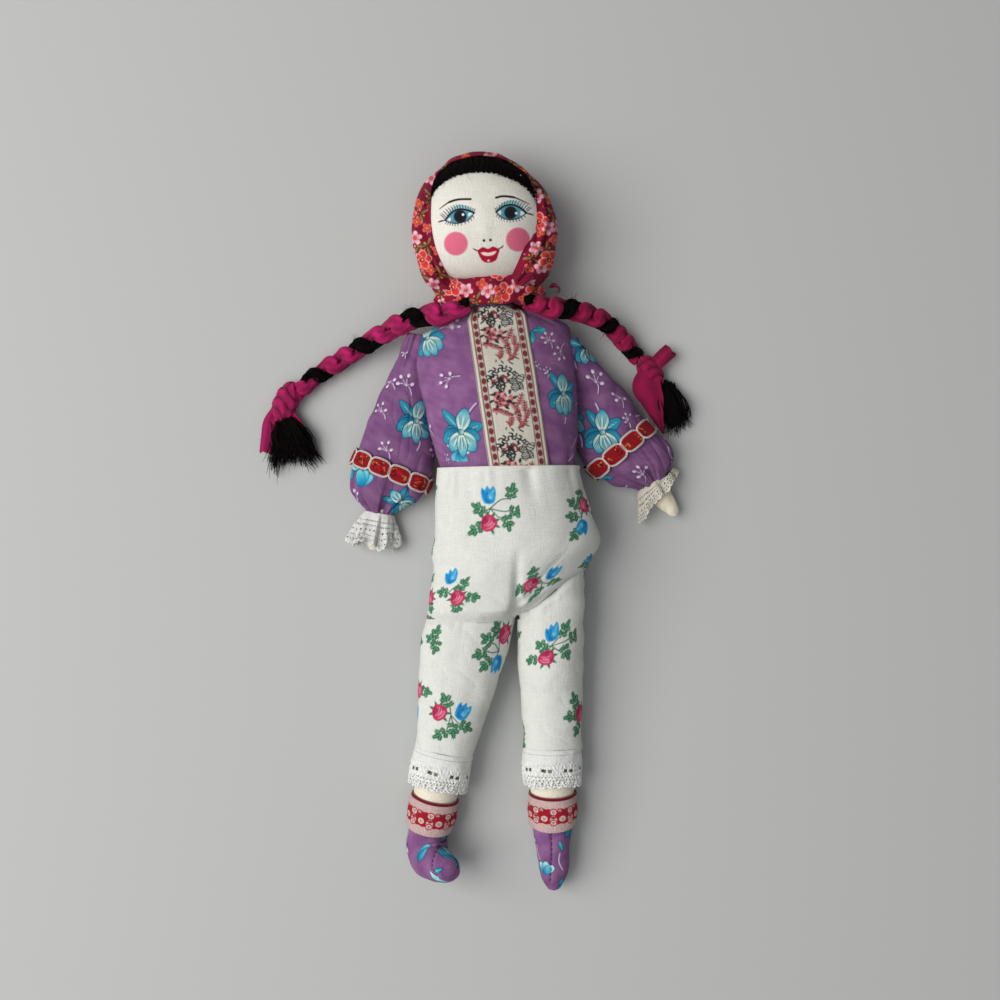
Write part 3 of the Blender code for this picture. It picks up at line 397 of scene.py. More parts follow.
def place_piece(name, mesh, material, body, nodes=(), thickness=0.0):
    """Make an object of a mesh, put it on the body it rides on, and hide the nodes it stands for."""
    made = bpy.data.objects.new(name, mesh)
    bpy.context.scene.collection.objects.link(made)
    mesh.materials.append(material)
    mesh.shade_smooth()
    drop_loose(mesh)
    if thickness:
        layer = made.modifiers.new("cloth", "SOLIDIFY")
        layer.thickness = thickness * MM
        layer.offset = 0.0
    if body:
        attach(made, body)
    if nodes:
        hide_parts(*nodes)
    return made


def drop_loose(mesh):
    """Take away points that no face uses."""
    used = np.zeros(len(mesh.vertices), bool)
    loops = np.empty(len(mesh.loops), np.int32)
    mesh.loops.foreach_get("vertex_index", loops)
    used[loops] = True
    if used.all():
        return
    work = bmesh.new()
    work.from_mesh(mesh)
    bmesh.ops.delete(work, geom=[v for v in work.verts if not v.link_faces], context="VERTS")
    work.to_mesh(mesh)
    work.free()


def tint_points(mesh, colour):
    """Write the paint of a mesh's points."""
    tint = np.ones((len(colour), 4), np.float32)
    tint[:, :3] = linear(np.clip(colour, 0, 1))
    mesh.color_attributes.new("paint", "FLOAT_COLOR", "POINT").data.foreach_set("color", tint.ravel())


def tubes(name, lines, radius, material, body, colour, sides=4, taper=0.25, nodes=()):
    """Many thin threads as one mesh: lines of points, with one radius and colour or one for each line."""
    points, faces, tint = [], [], []
    start = 0
    for n, line in enumerate(lines):
        line = np.asarray(line, float)
        r = radius[n] if np.ndim(radius) else radius
        _, side, up = route_frame(line, [0.02, 0.05, 1.0])
        size = r * np.clip(1 - (1 - taper) * np.linspace(0, 1, len(line)) ** 3, 0.05, 1)
        turn = np.arange(sides) / sides * TAU
        ring = (line[:, None] + side[:, None] * (np.cos(turn)[None, :, None] * size[:, None, None])
                + up[:, None] * (np.sin(turn)[None, :, None] * size[:, None, None]))
        points.append(ring.reshape(-1, 3))
        for i in range(len(line) - 1):
            for j in range(sides):
                k = (j + 1) % sides
                faces.append((start + i * sides + j, start + (i + 1) * sides + j,
                              start + (i + 1) * sides + k, start + i * sides + k))
        faces.append(tuple(start + j for j in range(sides)))
        faces.append(tuple(start + (len(line) - 1) * sides + j for j in reversed(range(sides))))
        tint.append(np.tile(colour[n] if np.ndim(colour[0]) else colour, (len(line) * sides, 1)))
        start += len(line) * sides
    mesh = bpy.data.meshes.new(name)
    mesh.from_pydata((np.concatenate(points) * MM).tolist(), [], faces)
    tint_points(mesh, np.concatenate(tint))
    mesh.update()
    return place_piece(name, mesh, material, body, nodes)


# Materials


def set_inputs(node, values):
    """Set a node's inputs by their names."""
    for name, value in values.items():
        node.inputs[name].default_value = value


def multiply(nodes, links, first, second):
    """The product of two colours."""
    mix = nodes.new("ShaderNodeMix")
    mix.data_type = "RGBA"
    mix.blend_type = "MULTIPLY"
    set_inputs(mix, {"Factor": 1.0})
    links.new(first, mix.inputs["A"])
    links.new(second, mix.inputs["B"])
    return mix.outputs["Result"]


def cloth_material(name, depth=0.10, sheen=0.04, mottle=0.10, slub=0.10, thread=0.42):
    """Woven cloth: paint, with uneven threads both ways in tone and in bump."""
    made = bpy.data.materials.new(name)
    made.use_nodes = True
    tree = made.node_tree
    nodes, links = tree.nodes, tree.links
    shader = nodes["Principled BSDF"]
    look = {"Roughness": 0.9, "Sheen Weight": sheen, "Sheen Roughness": 0.5, "Specular IOR Level": 0.2}
    set_inputs(shader, look)

    def join(kind, a, b):
        node = nodes.new("ShaderNodeMath")
        node.operation = kind
        for k, value in enumerate((a, b)):
            if isinstance(value, (int, float)):
                node.inputs[k].default_value = value
            else:
                links.new(value, node.inputs[k])
        return node.outputs[0]

    flat = nodes.new("ShaderNodeUVMap")
    flat.uv_map = "cloth"

    def noise(across, along, detail=2.0):
        place = nodes.new("ShaderNodeMapping")
        set_inputs(place, {"Scale": (1 / across, 1 / along, 1.0)})
        links.new(flat.outputs["UV"], place.inputs["Vector"])
        grain = nodes.new("ShaderNodeTexNoise")
        set_inputs(grain, {"Scale": 1.0, "Detail": detail})
        links.new(place.outputs["Vector"], grain.inputs["Vector"])
        return grain.outputs["Fac"]

    warp = noise(thread, thread * 14)
    weft = noise(thread * 14, thread)
    grain = noise(thread * 0.8, thread * 0.8, 3.0)
    cloud = noise(7.0, 7.0)
    height = join("ADD", join("MAXIMUM", warp, weft), join("MULTIPLY", grain, 0.8))
    bump = nodes.new("ShaderNodeBump")
    set_inputs(bump, {"Strength": 0.8, "Distance": depth * MM * 4})
    links.new(height, bump.inputs["Height"])
    links.new(bump.outputs["Normal"], shader.inputs["Normal"])

    # Each noise is about 0.5 in the middle, so the tone is about 1
    tone = join("ADD", join("MULTIPLY", join("ADD", warp, weft), slub * 2.2),
                join("MULTIPLY", grain, mottle * 2.6))
    tone = join("ADD", tone, join("MULTIPLY", cloud, 0.10))
    tone = join("ADD", tone, 1.0 - slub * 2.2 - mottle * 1.3 - 0.05)
    read = nodes.new("ShaderNodeAttribute")
    read.attribute_name = "paint"
    links.new(multiply(nodes, links, read.outputs["Color"], tone), shader.inputs["Base Color"])
    return made


def fibre_material(name):
    """Wool or thread: paint on the fibres, uneven along them."""
    made = bpy.data.materials.new(name)
    made.use_nodes = True
    nodes, links = made.node_tree.nodes, made.node_tree.links
    shader = nodes["Principled BSDF"]
    set_inputs(shader, {"Roughness": 0.9, "Sheen Weight": 0.0, "Specular IOR Level": 0.06})
    read = nodes.new("ShaderNodeAttribute")
    read.attribute_name = "paint"
    grain = nodes.new("ShaderNodeTexNoise")
    place = nodes.new("ShaderNodeTexCoord")
    set_inputs(grain, {"Scale": 1400.0, "Detail": 3.0})
    links.new(place.outputs["Object"], grain.inputs["Vector"])
    tone = nodes.new("ShaderNodeMapRange")
    set_inputs(tone, {"To Min": 0.55, "To Max": 1.35})
    links.new(grain.outputs["Fac"], tone.inputs["Value"])
    mixed = multiply(nodes, links, read.outputs["Color"], tone.outputs["Result"])
    links.new(mixed, shader.inputs["Base Color"])
    bump = nodes.new("ShaderNodeBump")
    set_inputs(bump, {"Strength": 0.5, "Distance": 0.2 * MM})
    links.new(grain.outputs["Fac"], bump.inputs["Height"])
    links.new(bump.outputs["Normal"], shader.inputs["Normal"])
    return made


# Colours of the prints

PURPLE = rgb(140, 96, 139)
PLUM = rgb(120, 76, 124)
ORANGE_RED = rgb(215, 45, 40)
DEEP, WINE = rgb(142, 12, 44), rgb(112, 8, 46)
OLIVE = rgb(104, 80, 54)
GOLD = rgb(220, 150, 30)
WHITE = rgb(219, 220, 213)

calico = cloth_material("calico_cloth", depth=0.12, mottle=0.07, slub=0.10, thread=0.36)
purple_cloth = cloth_material("purple_cloth", slub=0.16, mottle=0.14)
scarf_cloth = cloth_material("scarf_cloth", sheen=0.03, slub=0.16, mottle=0.14)
magenta_cloth = cloth_material("magenta_cloth_weave", depth=0.16, sheen=0.05, slub=0.14, mottle=0.14)
ribbon_cloth = cloth_material("ribbon_weave", depth=0.18, mottle=0.10, slub=0.12, thread=0.34)
trim_cloth = cloth_material("trim_weave", depth=0.16, mottle=0.12)
lace_cloth = cloth_material("lace_net", depth=0.20, mottle=0.06, slub=0.06)
trouser_cloth = cloth_material("trouser_cloth", depth=0.12, mottle=0.07, slub=0.10, thread=0.38)
band_cloth = cloth_material("band_weave", depth=0.22, mottle=0.12, slub=0.10)
wool = fibre_material("dark_wool")
thread = fibre_material("dark_thread")


# Millimetres in a pixel at the height of the lap: the unit of the motifs
PIXEL = 0.42


class Cloth(Paint):
    """Paint on a tube or sheet of cloth that can be placed by a pixel of the photograph."""

    def __init__(self, grid, ground, flat=None, wrap=True):
        self.grid = grid
        self.s, self.t = flat_of(grid) if flat is None else flat
        super().__init__(self.s, self.t, ground)
        self.seen = pixels(grid)
        self.normal = normals(grid, wrap)
        away = ((grid - grid.mean(axis=(0, 1))) * self.normal).sum() if wrap else self.normal[..., 2].mean()
        if away < 0:
            self.normal = -self.normal
        self.front = self.normal[..., 2] > 0.05
        self.placed = []

    def find(self, px, py):
        """Row and column of the front's point nearest to a pixel."""
        far = (self.seen[..., 0] - px) ** 2 + (self.seen[..., 1] - py) ** 2 + np.where(self.front, 0, 1e5)
        k = int(np.argmin(far))
        return k // self.grid.shape[1], k % self.grid.shape[1]

    def pix(self, px, py, turn=0.0, size=1.0, flip=1.0, reach=30.0):
        """Draw in photograph pixels around a pixel, up and right as in the photograph."""
        i, j = self.find(px, py)
        a, b = min(i + 2, len(self.grid) - 1), max(i - 2, 0)
        way = self.seen[b, j] - self.seen[a, j]
        lean = math.atan2(way[0], -way[1])
        scale = (CAMERA[2] - self.grid[i, j, 2]) / FOCAL
        self.placed.append((self.s[i, j], self.t[i, j]))
        return self.at(self.s[i, j], self.t[i, j], turn + lean, size * scale, flip, reach)

    def view(self, px, py, turn=0.0, size=1.0, reach=30.0):
        """Draw on what shows in the photograph around a pixel, square to the view."""
        x, y = self.seen[..., 0].ravel(), self.seen[..., 1].ravel()
        near = (abs(x - px) < reach * size) & (abs(y - py) < reach * size)
        self.found = np.flatnonzero(self.front.ravel() & near)
        dx, dy = x[self.found] - px, py - y[self.found]
        c, s = math.cos(turn), math.sin(turn)
        self.u, self.v = (c * dx + s * dy) / size, (-s * dx + c * dy) / size
        self.size = PIXEL * size
        i, j = self.find(px, py)
        self.placed.append((self.s[i, j], self.t[i, j]))
        return self

    def free(self, reach, seed=3, tries=600, facing=2.0):
        """Places far from what is drawn already, where the cloth looks up less than facing."""
        r = np.random.default_rng(seed)
        found = []
        for _ in range(tries):
            k = r.integers(self.x.size)
            x, y = self.x[k], self.y[k]
            clear = all((x - a) ** 2 + (y - b) ** 2 > reach**2 for a, b in self.placed)
            if self.normal[..., 2].flat[k] < facing and clear:
                self.placed.append((x, y))
                found.append((x, y, r.uniform(0, TAU), int(r.integers(1000))))
        return found


# Print motifs, drawn around the origin in photograph pixels


def petals(p, count, radius, length, width, colours, rim=None, start=0.0, spread=TAU, rim_width=0.9,
           power=1.0, point=0.0):
    """Petals fanned out from the middle, in an inner and an outer colour."""
    inner, outer = colours
    for k in range(count):
        turn = start + spread * k / count
        p.oval(math.cos(turn) * radius, math.sin(turn) * radius, length, width, turn, inner, rim, rim_width,
               tip=outer, power=power, point=point)


def big_blossom(p, n=0, scale=1.0):
    """Nodding turquoise blossom: deep side petals and pale streaked ones over them."""
    k = scale
    deep, mid, light = rgb(6, 98, 132), rgb(48, 146, 172), rgb(212, 222, 204)
    dark = rgb(22, 52, 88)
    for turn, length, width, pale in (
        (2.25, 17, 4.4, 0), (0.50, 14, 5.6, 0), (3.35, 12, 6.4, 0), (-0.35, 12, 6.4, 0), (1.45, 14, 6.6, 1),
        (-2.55, 14, 7.0, 0), (-0.95, 14, 7.0, 1), (-2.0, 14, 6.4, 1), (-1.45, 15, 5.0, 1),
    ):
        turn += 0.14 * math.sin(3.0 * n + turn * 2)
        length, width = length * k, width * k
        c, s = math.cos(turn), math.sin(turn)
        first, last = (light, mid) if pale else (deep, mid)
        p.oval(c * length * 0.78, s * length * 0.78, length * 0.74, width, turn, first, dark, 0.8, tip=last,
               power=1.6 if pale else 1.0, point=0.3)
        for step in (-0.6, -0.3, 0.0, 0.3, 0.6):
            far = 1.05 if pale else 1.2
            a = (c * length * 0.3 - s * step * width * 0.4, s * length * 0.3 + c * step * width * 0.4)
            b = (c * length * far - s * step * width * 1.1, s * length * far + c * step * width * 1.1)
            p.line([a, b], 0.7, deep if pale and step else (light if step == 0 else mid), smooth=False,
                   taper=True)
    p.oval(0, 0, 2.8 * k, 2.4 * k, 0, rgb(20, 110, 136), dark, 0.6, tip=light)


def bud(p, n=0, scale=1.0):
    """Spray of small pale buds on thin stalks."""
    k = scale
    pale, dark = rgb(222, 200, 220), rgb(66, 40, 84)
    forks = [(0, -13 * k), (1.5 * k, -6 * k), (0, 0)]
    p.line([(x + 0.8, y - 0.7) for x, y in forks], 1.0, dark)
    p.line(forks, 0.9, pale)
    for x, y, turn in ((-7.5, 5, 2.5), (-1.5, 10, 1.7), (6.5, 6.5, 0.8), (5.5, -3.5, 0.0), (-6, -3, 3.0)):
        if (n + int(abs(x) * 3)) % 5 == 4:
            continue
        x, y = x * k, y * k
        for off, colour, width in ((0.6, dark, 0.9), (0, pale, 0.7)):
            p.line([(off, -2 * k - off), (x * 0.5 + off, y * 0.6 - off), (x, y)], width, colour)
        p.oval(x - 0.5, y - 0.5, 2.3 * k + 0.5, 1.8 * k + 0.5, turn, dark)
        p.oval(x, y, 2.3 * k, 1.8 * k, turn, pale)


def stalk(p, points, width=1.9):
    """Pale curved stalk with a dark side."""
    p.line([(x + 0.9, y - 0.6) for x, y in points], width, rgb(80, 48, 98))
    p.line(points, width * 0.85, rgb(205, 180, 208))


def leaf(p, turn, length, width, colours=(rgb(0, 95, 125), rgb(60, 185, 190))):
    """Pointed turquoise leaf with a pale vein."""
    c, s = math.cos(turn), math.sin(turn)
    p.oval(c * length, s * length, length, width, turn, colours[0], rgb(25, 70, 100), 0.5, tip=colours[1],
           point=0.6)
    p.line([(c * 2, s * 2), (c * length * 1.7, s * length * 1.7)], 0.6, rgb(150, 215, 215))


def purple_fill(p, seed, reach):
    """More blossoms and buds where the photograph doesn't look."""
    for k, (x, y, turn, n) in enumerate(p.free(reach, seed, 900, 0.2)):
        p.at(x, y, turn, PIXEL)
        if k % 3 == 0:
            stalk(p, [(0, -8), (4, -22), (-4, -36)])
            big_blossom(p, n, 0.9)
        elif k % 3 == 1:
            bud(p, n)
        else:
            stalk(p, [(-14, -10), (-2, -4), (4, 8)], 1.3)
            p.u -= 4
            p.v -= 10
            bud(p, n, 0.9)


def shaded(p, first, second, size, seed, tone=1.0):
    """Two shades of the ground, unevenly."""
    shade = waves(np.stack([p.x, p.y], axis=-1), size, seed, 2)[:, None] * 0.5 + 0.5
    p.colour[:] = (first + (second - first) * np.clip(shade, 0, 1)) * tone


def rose(p):
    """Rosebud of the trousers' print, its point upwards before it is turned."""
    deep, mid, light = rgb(150, 32, 70), rgb(192, 52, 92), rgb(222, 116, 146)
    green = rgb(54, 112, 80)
    for turn in (-2.9, -2.2, -1.5, -0.8, -0.1, 2.6, 0.6):
        far = 8.0 if turn < 0.5 else 8.4
        p.oval(far * math.cos(turn), far * math.sin(turn), 4.4, 1.5, turn, green, point=0.5)
    p.area([(0, 9.5), (-4.0, 8.0), (-7.6, 2.5), (-7.6, -4), (-3.4, -7.6),
            (3.4, -7.6), (7.4, -4), (7.6, 2.0), (4.4, 7.8)], mid)
    p.oval(-2.6, 1.5, 5.6, 2.6, 1.3, light, tip=mid)
    p.oval(3.2, 0.5, 6.0, 2.2, 1.75, deep, tip=mid)
    p.oval(0.2, -4.2, 4.6, 2.0, 0.1, deep, tip=rgb(206, 84, 120))
    for streak in (((-5.5, -3), (-4.4, 3), (-0.5, 7.5)), ((1.5, -5.5), (0.6, 1), (3.0, 6)),
                   ((-1, -5), (-2, 0), (0, 4.6))):
        p.line(streak, 0.7, rgb(236, 168, 188), taper=True)
    p.line([(5.6, -4), (6.0, 1.5), (2.8, 7)], 0.8, rgb(110, 20, 52), taper=True)


def blue_bloom(p):
    """Blue bell with ruffled points, upwards before it is turned."""
    deep, mid, light = rgb(16, 104, 168), rgb(44, 150, 206), rgb(128, 200, 230)
    p.area([(0, -8.6), (-5.2, -7), (-7.4, -1.5), (-7.6, 4), (-6.2, 8.2),
            (-3.4, 5.8), (-0.6, 9.6), (2.2, 6.0), (5.6, 8.8), (7.6, 4), (7.0, -1.5), (4.8, -7)], mid)
    p.oval(-3.6, -0.6, 5.8, 1.7, 1.75, deep, tip=mid)
    p.oval(2.8, 0.2, 5.6, 1.9, 1.4, light, tip=mid)
    p.oval(0.2, -5.6, 3.8, 2.0, 0, deep, tip=mid)
    for x, y, turn in ((-1.4, 2.4, 1.5), (4.8, 3.6, 1.2), (-5.2, 3.6, 1.9), (0.8, -1.6, 1.6)):
        p.oval(x, y, 2.2, 0.7, turn, (light, deep)[int(x < 0)])


def lobed(p, x, y, turn, size=1.0):
    """Compound leaf: five pointed, saw-edged leaflets on a short stalk."""
    green, dark, light = rgb(58, 122, 86), rgb(34, 88, 60), rgb(120, 170, 134)
    c, s = math.cos(turn) * size, math.sin(turn) * size
    p.line([(x - c * 7, y - s * 7), (x, y), (x + c * 4, y + s * 4)], 0.9, dark, smooth=False)
    for k, (lean, base, length) in enumerate(((1.15, -4.5, 3.3), (-1.15, -4.5, 3.3), (0.85, 0.0, 4.2),
                                              (-0.85, 0.0, 4.2), (0.0, 1.5, 5.2))):
        a = turn + lean + 0.12 * math.sin(2.3 * x + k)
        ca, sa = math.cos(a) * size, math.sin(a) * size
        px, py = x + c * base + ca * length * 0.95, y + s * base + sa * length * 0.95
        p.oval(px, py, length * size, 2.1 * size, a, dark, tip=dark, point=0.85)
        for step in (-0.35, 0.1, 0.5):
            for way in (-1, 1):
                wide = 1.5 * (1 - 0.6 * max(step, 0))
                p.oval(px + ca * step * length - sa * way * wide, py + sa * step * length + ca * way * wide,
                       1.7 * size, 0.75 * size, a + 0.55 * way, dark, point=0.7)
        p.oval(px, py, length * 0.92 * size, 1.6 * size, a, green, tip=light if k % 2 else green, power=1.6,
               point=0.8)
        p.line([(px - ca * length * 0.8, py - sa * length * 0.8),
                (px + ca * length * 0.7, py + sa * length * 0.7)],
               0.45, light, smooth=False)


def sprig(p, pink, blue, leaves):
    """One posy: a rosebud, a blue bell and compound leaves, each as (x, y, turn), on one stem."""
    for x, y, turn in (leaves if pink or blue else ()):
        p.line([(0, 0), (x * 0.45 + 1, y * 0.6 - 1), (x - math.cos(turn) * 6, y - math.sin(turn) * 6)], 1.0,
               rgb(44, 98, 68))
    for x, y, turn in leaves:
        lobed(p, x, y, turn)
    for draw, place in ((blue_bloom, blue), (rose, pink)):
        if not place:
            continue
        x, y, turn = place
        u, v = p.u, p.v
        c, s = math.cos(turn), math.sin(turn)
        p.u, p.v = c * (u - x) + s * (v - y), -s * (u - x) + c * (v - y)
        draw(p)
        p.u, p.v = u, v


def sprig_fill(p, seed, reach=17.0):
    """More posies where the photograph doesn't look."""
    for k, (x, y, turn, _) in enumerate(p.free(reach, seed, 900, 0.2)):
        p.at(x, y, turn, PIXEL, flip=(-1) ** k)
        sprig(p, (-1, -13, 0.4), (-2, 13, 0.2), [(12, 4, 0.5), (18, -8, -0.6), (-12, -16, 3.2), (8, 14, 1.0)])


# Body: blouse, ribbon and trouser seat

# Distance of the waist and the crotch below the body's origin and of the neckline above it, then half widths
# and half depths
WAIST, NECKLINE, CROTCH = 30.5, 36.0, 94.4
CHEST, SEAT = (33.5, 20.25), (36.5, 21.0)
SEAT_LENGTH = CROTCH - WAIST
COLLAR = (NECKLINE + 1.8, 10.6, 10.6, 0, 14.6, 0)
# Rows down the body as shares: place, half width, half depth, lift from the table, shift to the left
BODY_SHARES = (
    (0.00, 0.34, 0.56, 0.95, 0.0), (0.05, 0.69, 0.61, 0.60, 0.0), (0.12, 0.96, 0.66, 0.18, 0.0),
    (0.21, 1.00, 0.74, 0.00, 0.0), (0.39, 0.99, 0.89, 0.00, 0.1), (0.63, 0.95, 0.99, 0.00, 0.5),
    (0.84, 0.90, 0.99, 0.00, 0.8),
)
SEAT_SHARES = (
    (0.00, 0.820, 0.92, 0.0, 0.9), (0.18, 0.866, 0.95, 0.0, 0.8), (0.40, 0.930, 0.99, 0.0, 0.9),
    (0.52, 0.985, 1.00, 0.0, 0.8), (0.62, 0.965, 0.98, 0.0, 0.7), (0.76, 0.940, 0.90, 0.0, -0.9),
    (1.00, 0.960, 0.74, 0.0, -2.2),
)


def resting(half_depth):
    """Height of a section's middle when it lies on the table and sinks in a little."""
    return half_depth - 0.5


def blouse_rows():
    """The bodice's sections from the shoulders to below the waistband."""
    rows = []
    for place, width, depth, lift, shift in BODY_SHARES:
        low = resting(depth * CHEST[1])
        rows.append((NECKLINE - place * (NECKLINE + WAIST), width * CHEST[0], depth * CHEST[1], shift * 2,
                     low + lift * max(14.3 - low, 0), 0))
    for drop, share in ((0.0, 0.0), (6.0, 0.17)):
        low = SEAT_SHARES[0]
        rows.append((-WAIST - drop, (low[1] + share * 0.046) * SEAT[0] - 1.5, low[2] * SEAT[1] - 1.5, 1.8,
                     resting(low[2] * SEAT[1]), 0))
    return rows


def folds(grid, angles, count, height, seed):
    """Soft lengthwise gathers round a tube, as a height for each point."""
    r = np.random.default_rng(seed)
    total = np.zeros(grid.shape[:2])
    for _ in range(count):
        at = r.uniform(-math.pi / 2, 1.5 * math.pi)
        total += r.uniform(0.5, 1.0) * np.exp(-((angles[None, :] - at) / r.uniform(0.05, 0.12)) ** 2)
    return total * height


def wrinkles(points, size, seed):
    """Soft creases of cloth where smooth noise is near nothing, 0 to 1."""
    return np.clip(1 - abs(waves(points, size, seed, 2)) * 1.2, 0, 1) ** 2


def blouse_print(p):
    """The blossoms, buds and stalks that show on the bodice."""
    p.pix(426.6, 338)
    stalk(p, [(10, 4), (24, 3), (32, -6), (42, -10)])
    p.oval(30, 1, 4.6, 2.6, 1.9, rgb(226, 205, 226), rgb(78, 45, 95), 0.6)
    leaf(p, 0.75, 9.5, 4.6)
    big_blossom(p, 0, 1.1)
    p.pix(448.8, 379, 1.9)
    bud(p, 1, 0.95)
    p.pix(461, 432)
    stalk(p, [(5, 12), (9, 22), (15, 30)])
    petals(p, 3, 14, 9, 6, (rgb(30, 150, 185), rgb(205, 228, 222)), rgb(25, 70, 100), 3.9, 1.8, rim_width=0.5)
    p.v += 22
    petals(p, 3, 6, 8, 5, (rgb(0, 112, 158), rgb(120, 200, 215)), rgb(25, 70, 100), 3.7, 2.4, rim_width=0.5)
    p.v -= 22
    big_blossom(p, 1, 1.14)
    p.pix(447, 459, 0.6)
    bud(p, 2, 0.5)
    p.pix(532, 331)
    leaf(p, 0.2, 7.5, 4.4)
    leaf(p, -1.5, 8, 3.6)
    for x, y, turn, k in ((549, 340, 0.4, 0.85), (561, 352, 2.8, 0.9), (548, 372, 0.1, 0.5),
                          (536, 366, 1.0, 0.45)):
        p.pix(x, y, turn)
        bud(p, int(x), k)
    p.pix(563, 394)
    stalk(p, [(1, -12), (2, -26), (-5, -38), (-18, -44)])
    leaf(p, 1.9, 9, 4)
    leaf(p, 1.1, 8, 3.6)
    big_blossom(p, 2, 1.0)
    for x, y in ((571, 457), (574, 442)):
        p.pix(x, y)
        p.line([(-5, -5), (3, 1), (6, 3)], 1.0, rgb(215, 190, 215))


def make_blouse():
    """The bodice, gathered at the neck and at the waist."""
    grid, angles = loft([COLLAR, *blouse_rows()], 190, 320)
    n = outward(grid)
    along = rows_share(grid)
    calm = np.clip(along / 0.05, 0, 1)
    swell(grid, n, 0.35 * waves(grid, 26, 2, 2) * calm)
    swell(grid, n, -0.16 * wrinkles(grid, 30, 71) * calm)
    swell(grid, n, folds(grid, angles, 26, -0.8, 4) * np.exp(-((along - 0.07) / 0.08) ** 2))
    swell(grid, n, folds(grid, angles, 34, -0.8, 5) * np.exp(-((1 - along) / 0.14) ** 2))
    grid = turned(rest(grid), (0, 0, 0), TILT)
    p = Cloth(grid, PURPLE)
    shaded(p, PURPLE, PLUM, 9.0, 5)
    p.soft = 0.3
    blouse_print(p)
    purple_fill(p, 7, 14.5)
    closed, paint = hem(grid, p.result(), 0.8, 4.0)
    made = piece("blouse_cloth", closed, paint, purple_cloth, "torso", ["bodice"])
    return made, grid


blouse, blouse_grid = make_blouse()


def top_height(x, y):
    """Height of the blouse's front, in the body's frame."""
    rows = even([COLLAR, *blouse_rows()], 200)
    order = np.argsort(rows[:, 0])
    width, depth, middle, z = (np.interp(y, rows[order, 0], rows[order, k]) for k in (1, 2, 3, 4))
    share = np.clip(abs(x - middle) / width, 0, 0.999)
    return z + depth * np.sqrt(1 - share**2)


RIBBON = 24.8


def make_ribbon():
    """The woven ribbon down the middle of the bodice, narrower where it goes under the scarf."""
    rows, cols = 230, 96
    top = NECKLINE + 0.8
    y = np.linspace(top, -WAIST - 1.5, rows)[:, None] + np.zeros((1, cols))
    share = (NECKLINE - 3.0 - y) / (NECKLINE - 3.0 + WAIST)
    u = np.linspace(-0.5, 0.5, cols)[None, :] + np.zeros((rows, 1))
    width = RIBBON - 4.5 * np.clip((y - NECKLINE + 4.0) / 5.0, 0, 1)
    x = 2.3 + 3.6 * share + u * width + 0.2 * waves(np.stack([y], -1), 22, 9, 1)
    z = top_height(np.clip(x, -11, 13) * (y > NECKLINE - 2) + x * (y <= NECKLINE - 2), y) + 0.9
    z -= 0.5 * np.clip((abs(u) - 0.46) / 0.04, 0, 1) ** 2
    grid = np.stack([x, y, z], axis=-1)
    grid[..., 2] += 0.10 * waves(grid, 16, 8, 2)
    grid = turned(grid, (0, 0, 0), TILT)
    s, t = u * RIBBON, y - top
    p = Cloth(grid, rgb(216, 212, 198), (s, t), wrap=False)
    p.soft = 0.22
    brown, white = rgb(110, 70, 62), rgb(226, 222, 208)
    for side in (-1, 1):
        p.at(0, 0, reach=1e6)
        p.put(np.where((p.u * side > 8.0) & (p.u * side < 10.5), 0.55, 0.0), rgb(196, 168, 158))
        for place, wide, colour in ((12.1, 0.4, brown), (11.4, 0.9, white), (10.6, 0.45, brown),
                                    (7.95, 0.45, brown), (7.5, 0.5, white)):
            p.line([(side * place, 5), (side * place, -80)], wide, colour, smooth=False)
        for k in range(22):
            p.at(side * 9.27, -1.0 - 3.45 * k)
            p.oval(0, 0, 0.75, 1.15, 0, rgb(132, 44, 54), rgb(90, 40, 44), 0.2)
    for k in range(4):
        p.at(-0.2, 2.0 - 28.2 * k)
        ribbon_motif(p)
    p.at(0, 0, reach=1e6)
    threads = 0.5 + 0.5 * np.sin(p.v * TAU / 0.55)
    p.put(0.10 * threads, rgb(120, 110, 100))
    made = piece("front_ribbon_weave", grid, p.result(), ribbon_cloth, "torso", ["front_ribbon"],
                 wrap=False, uv=(s, t))
    return made, grid


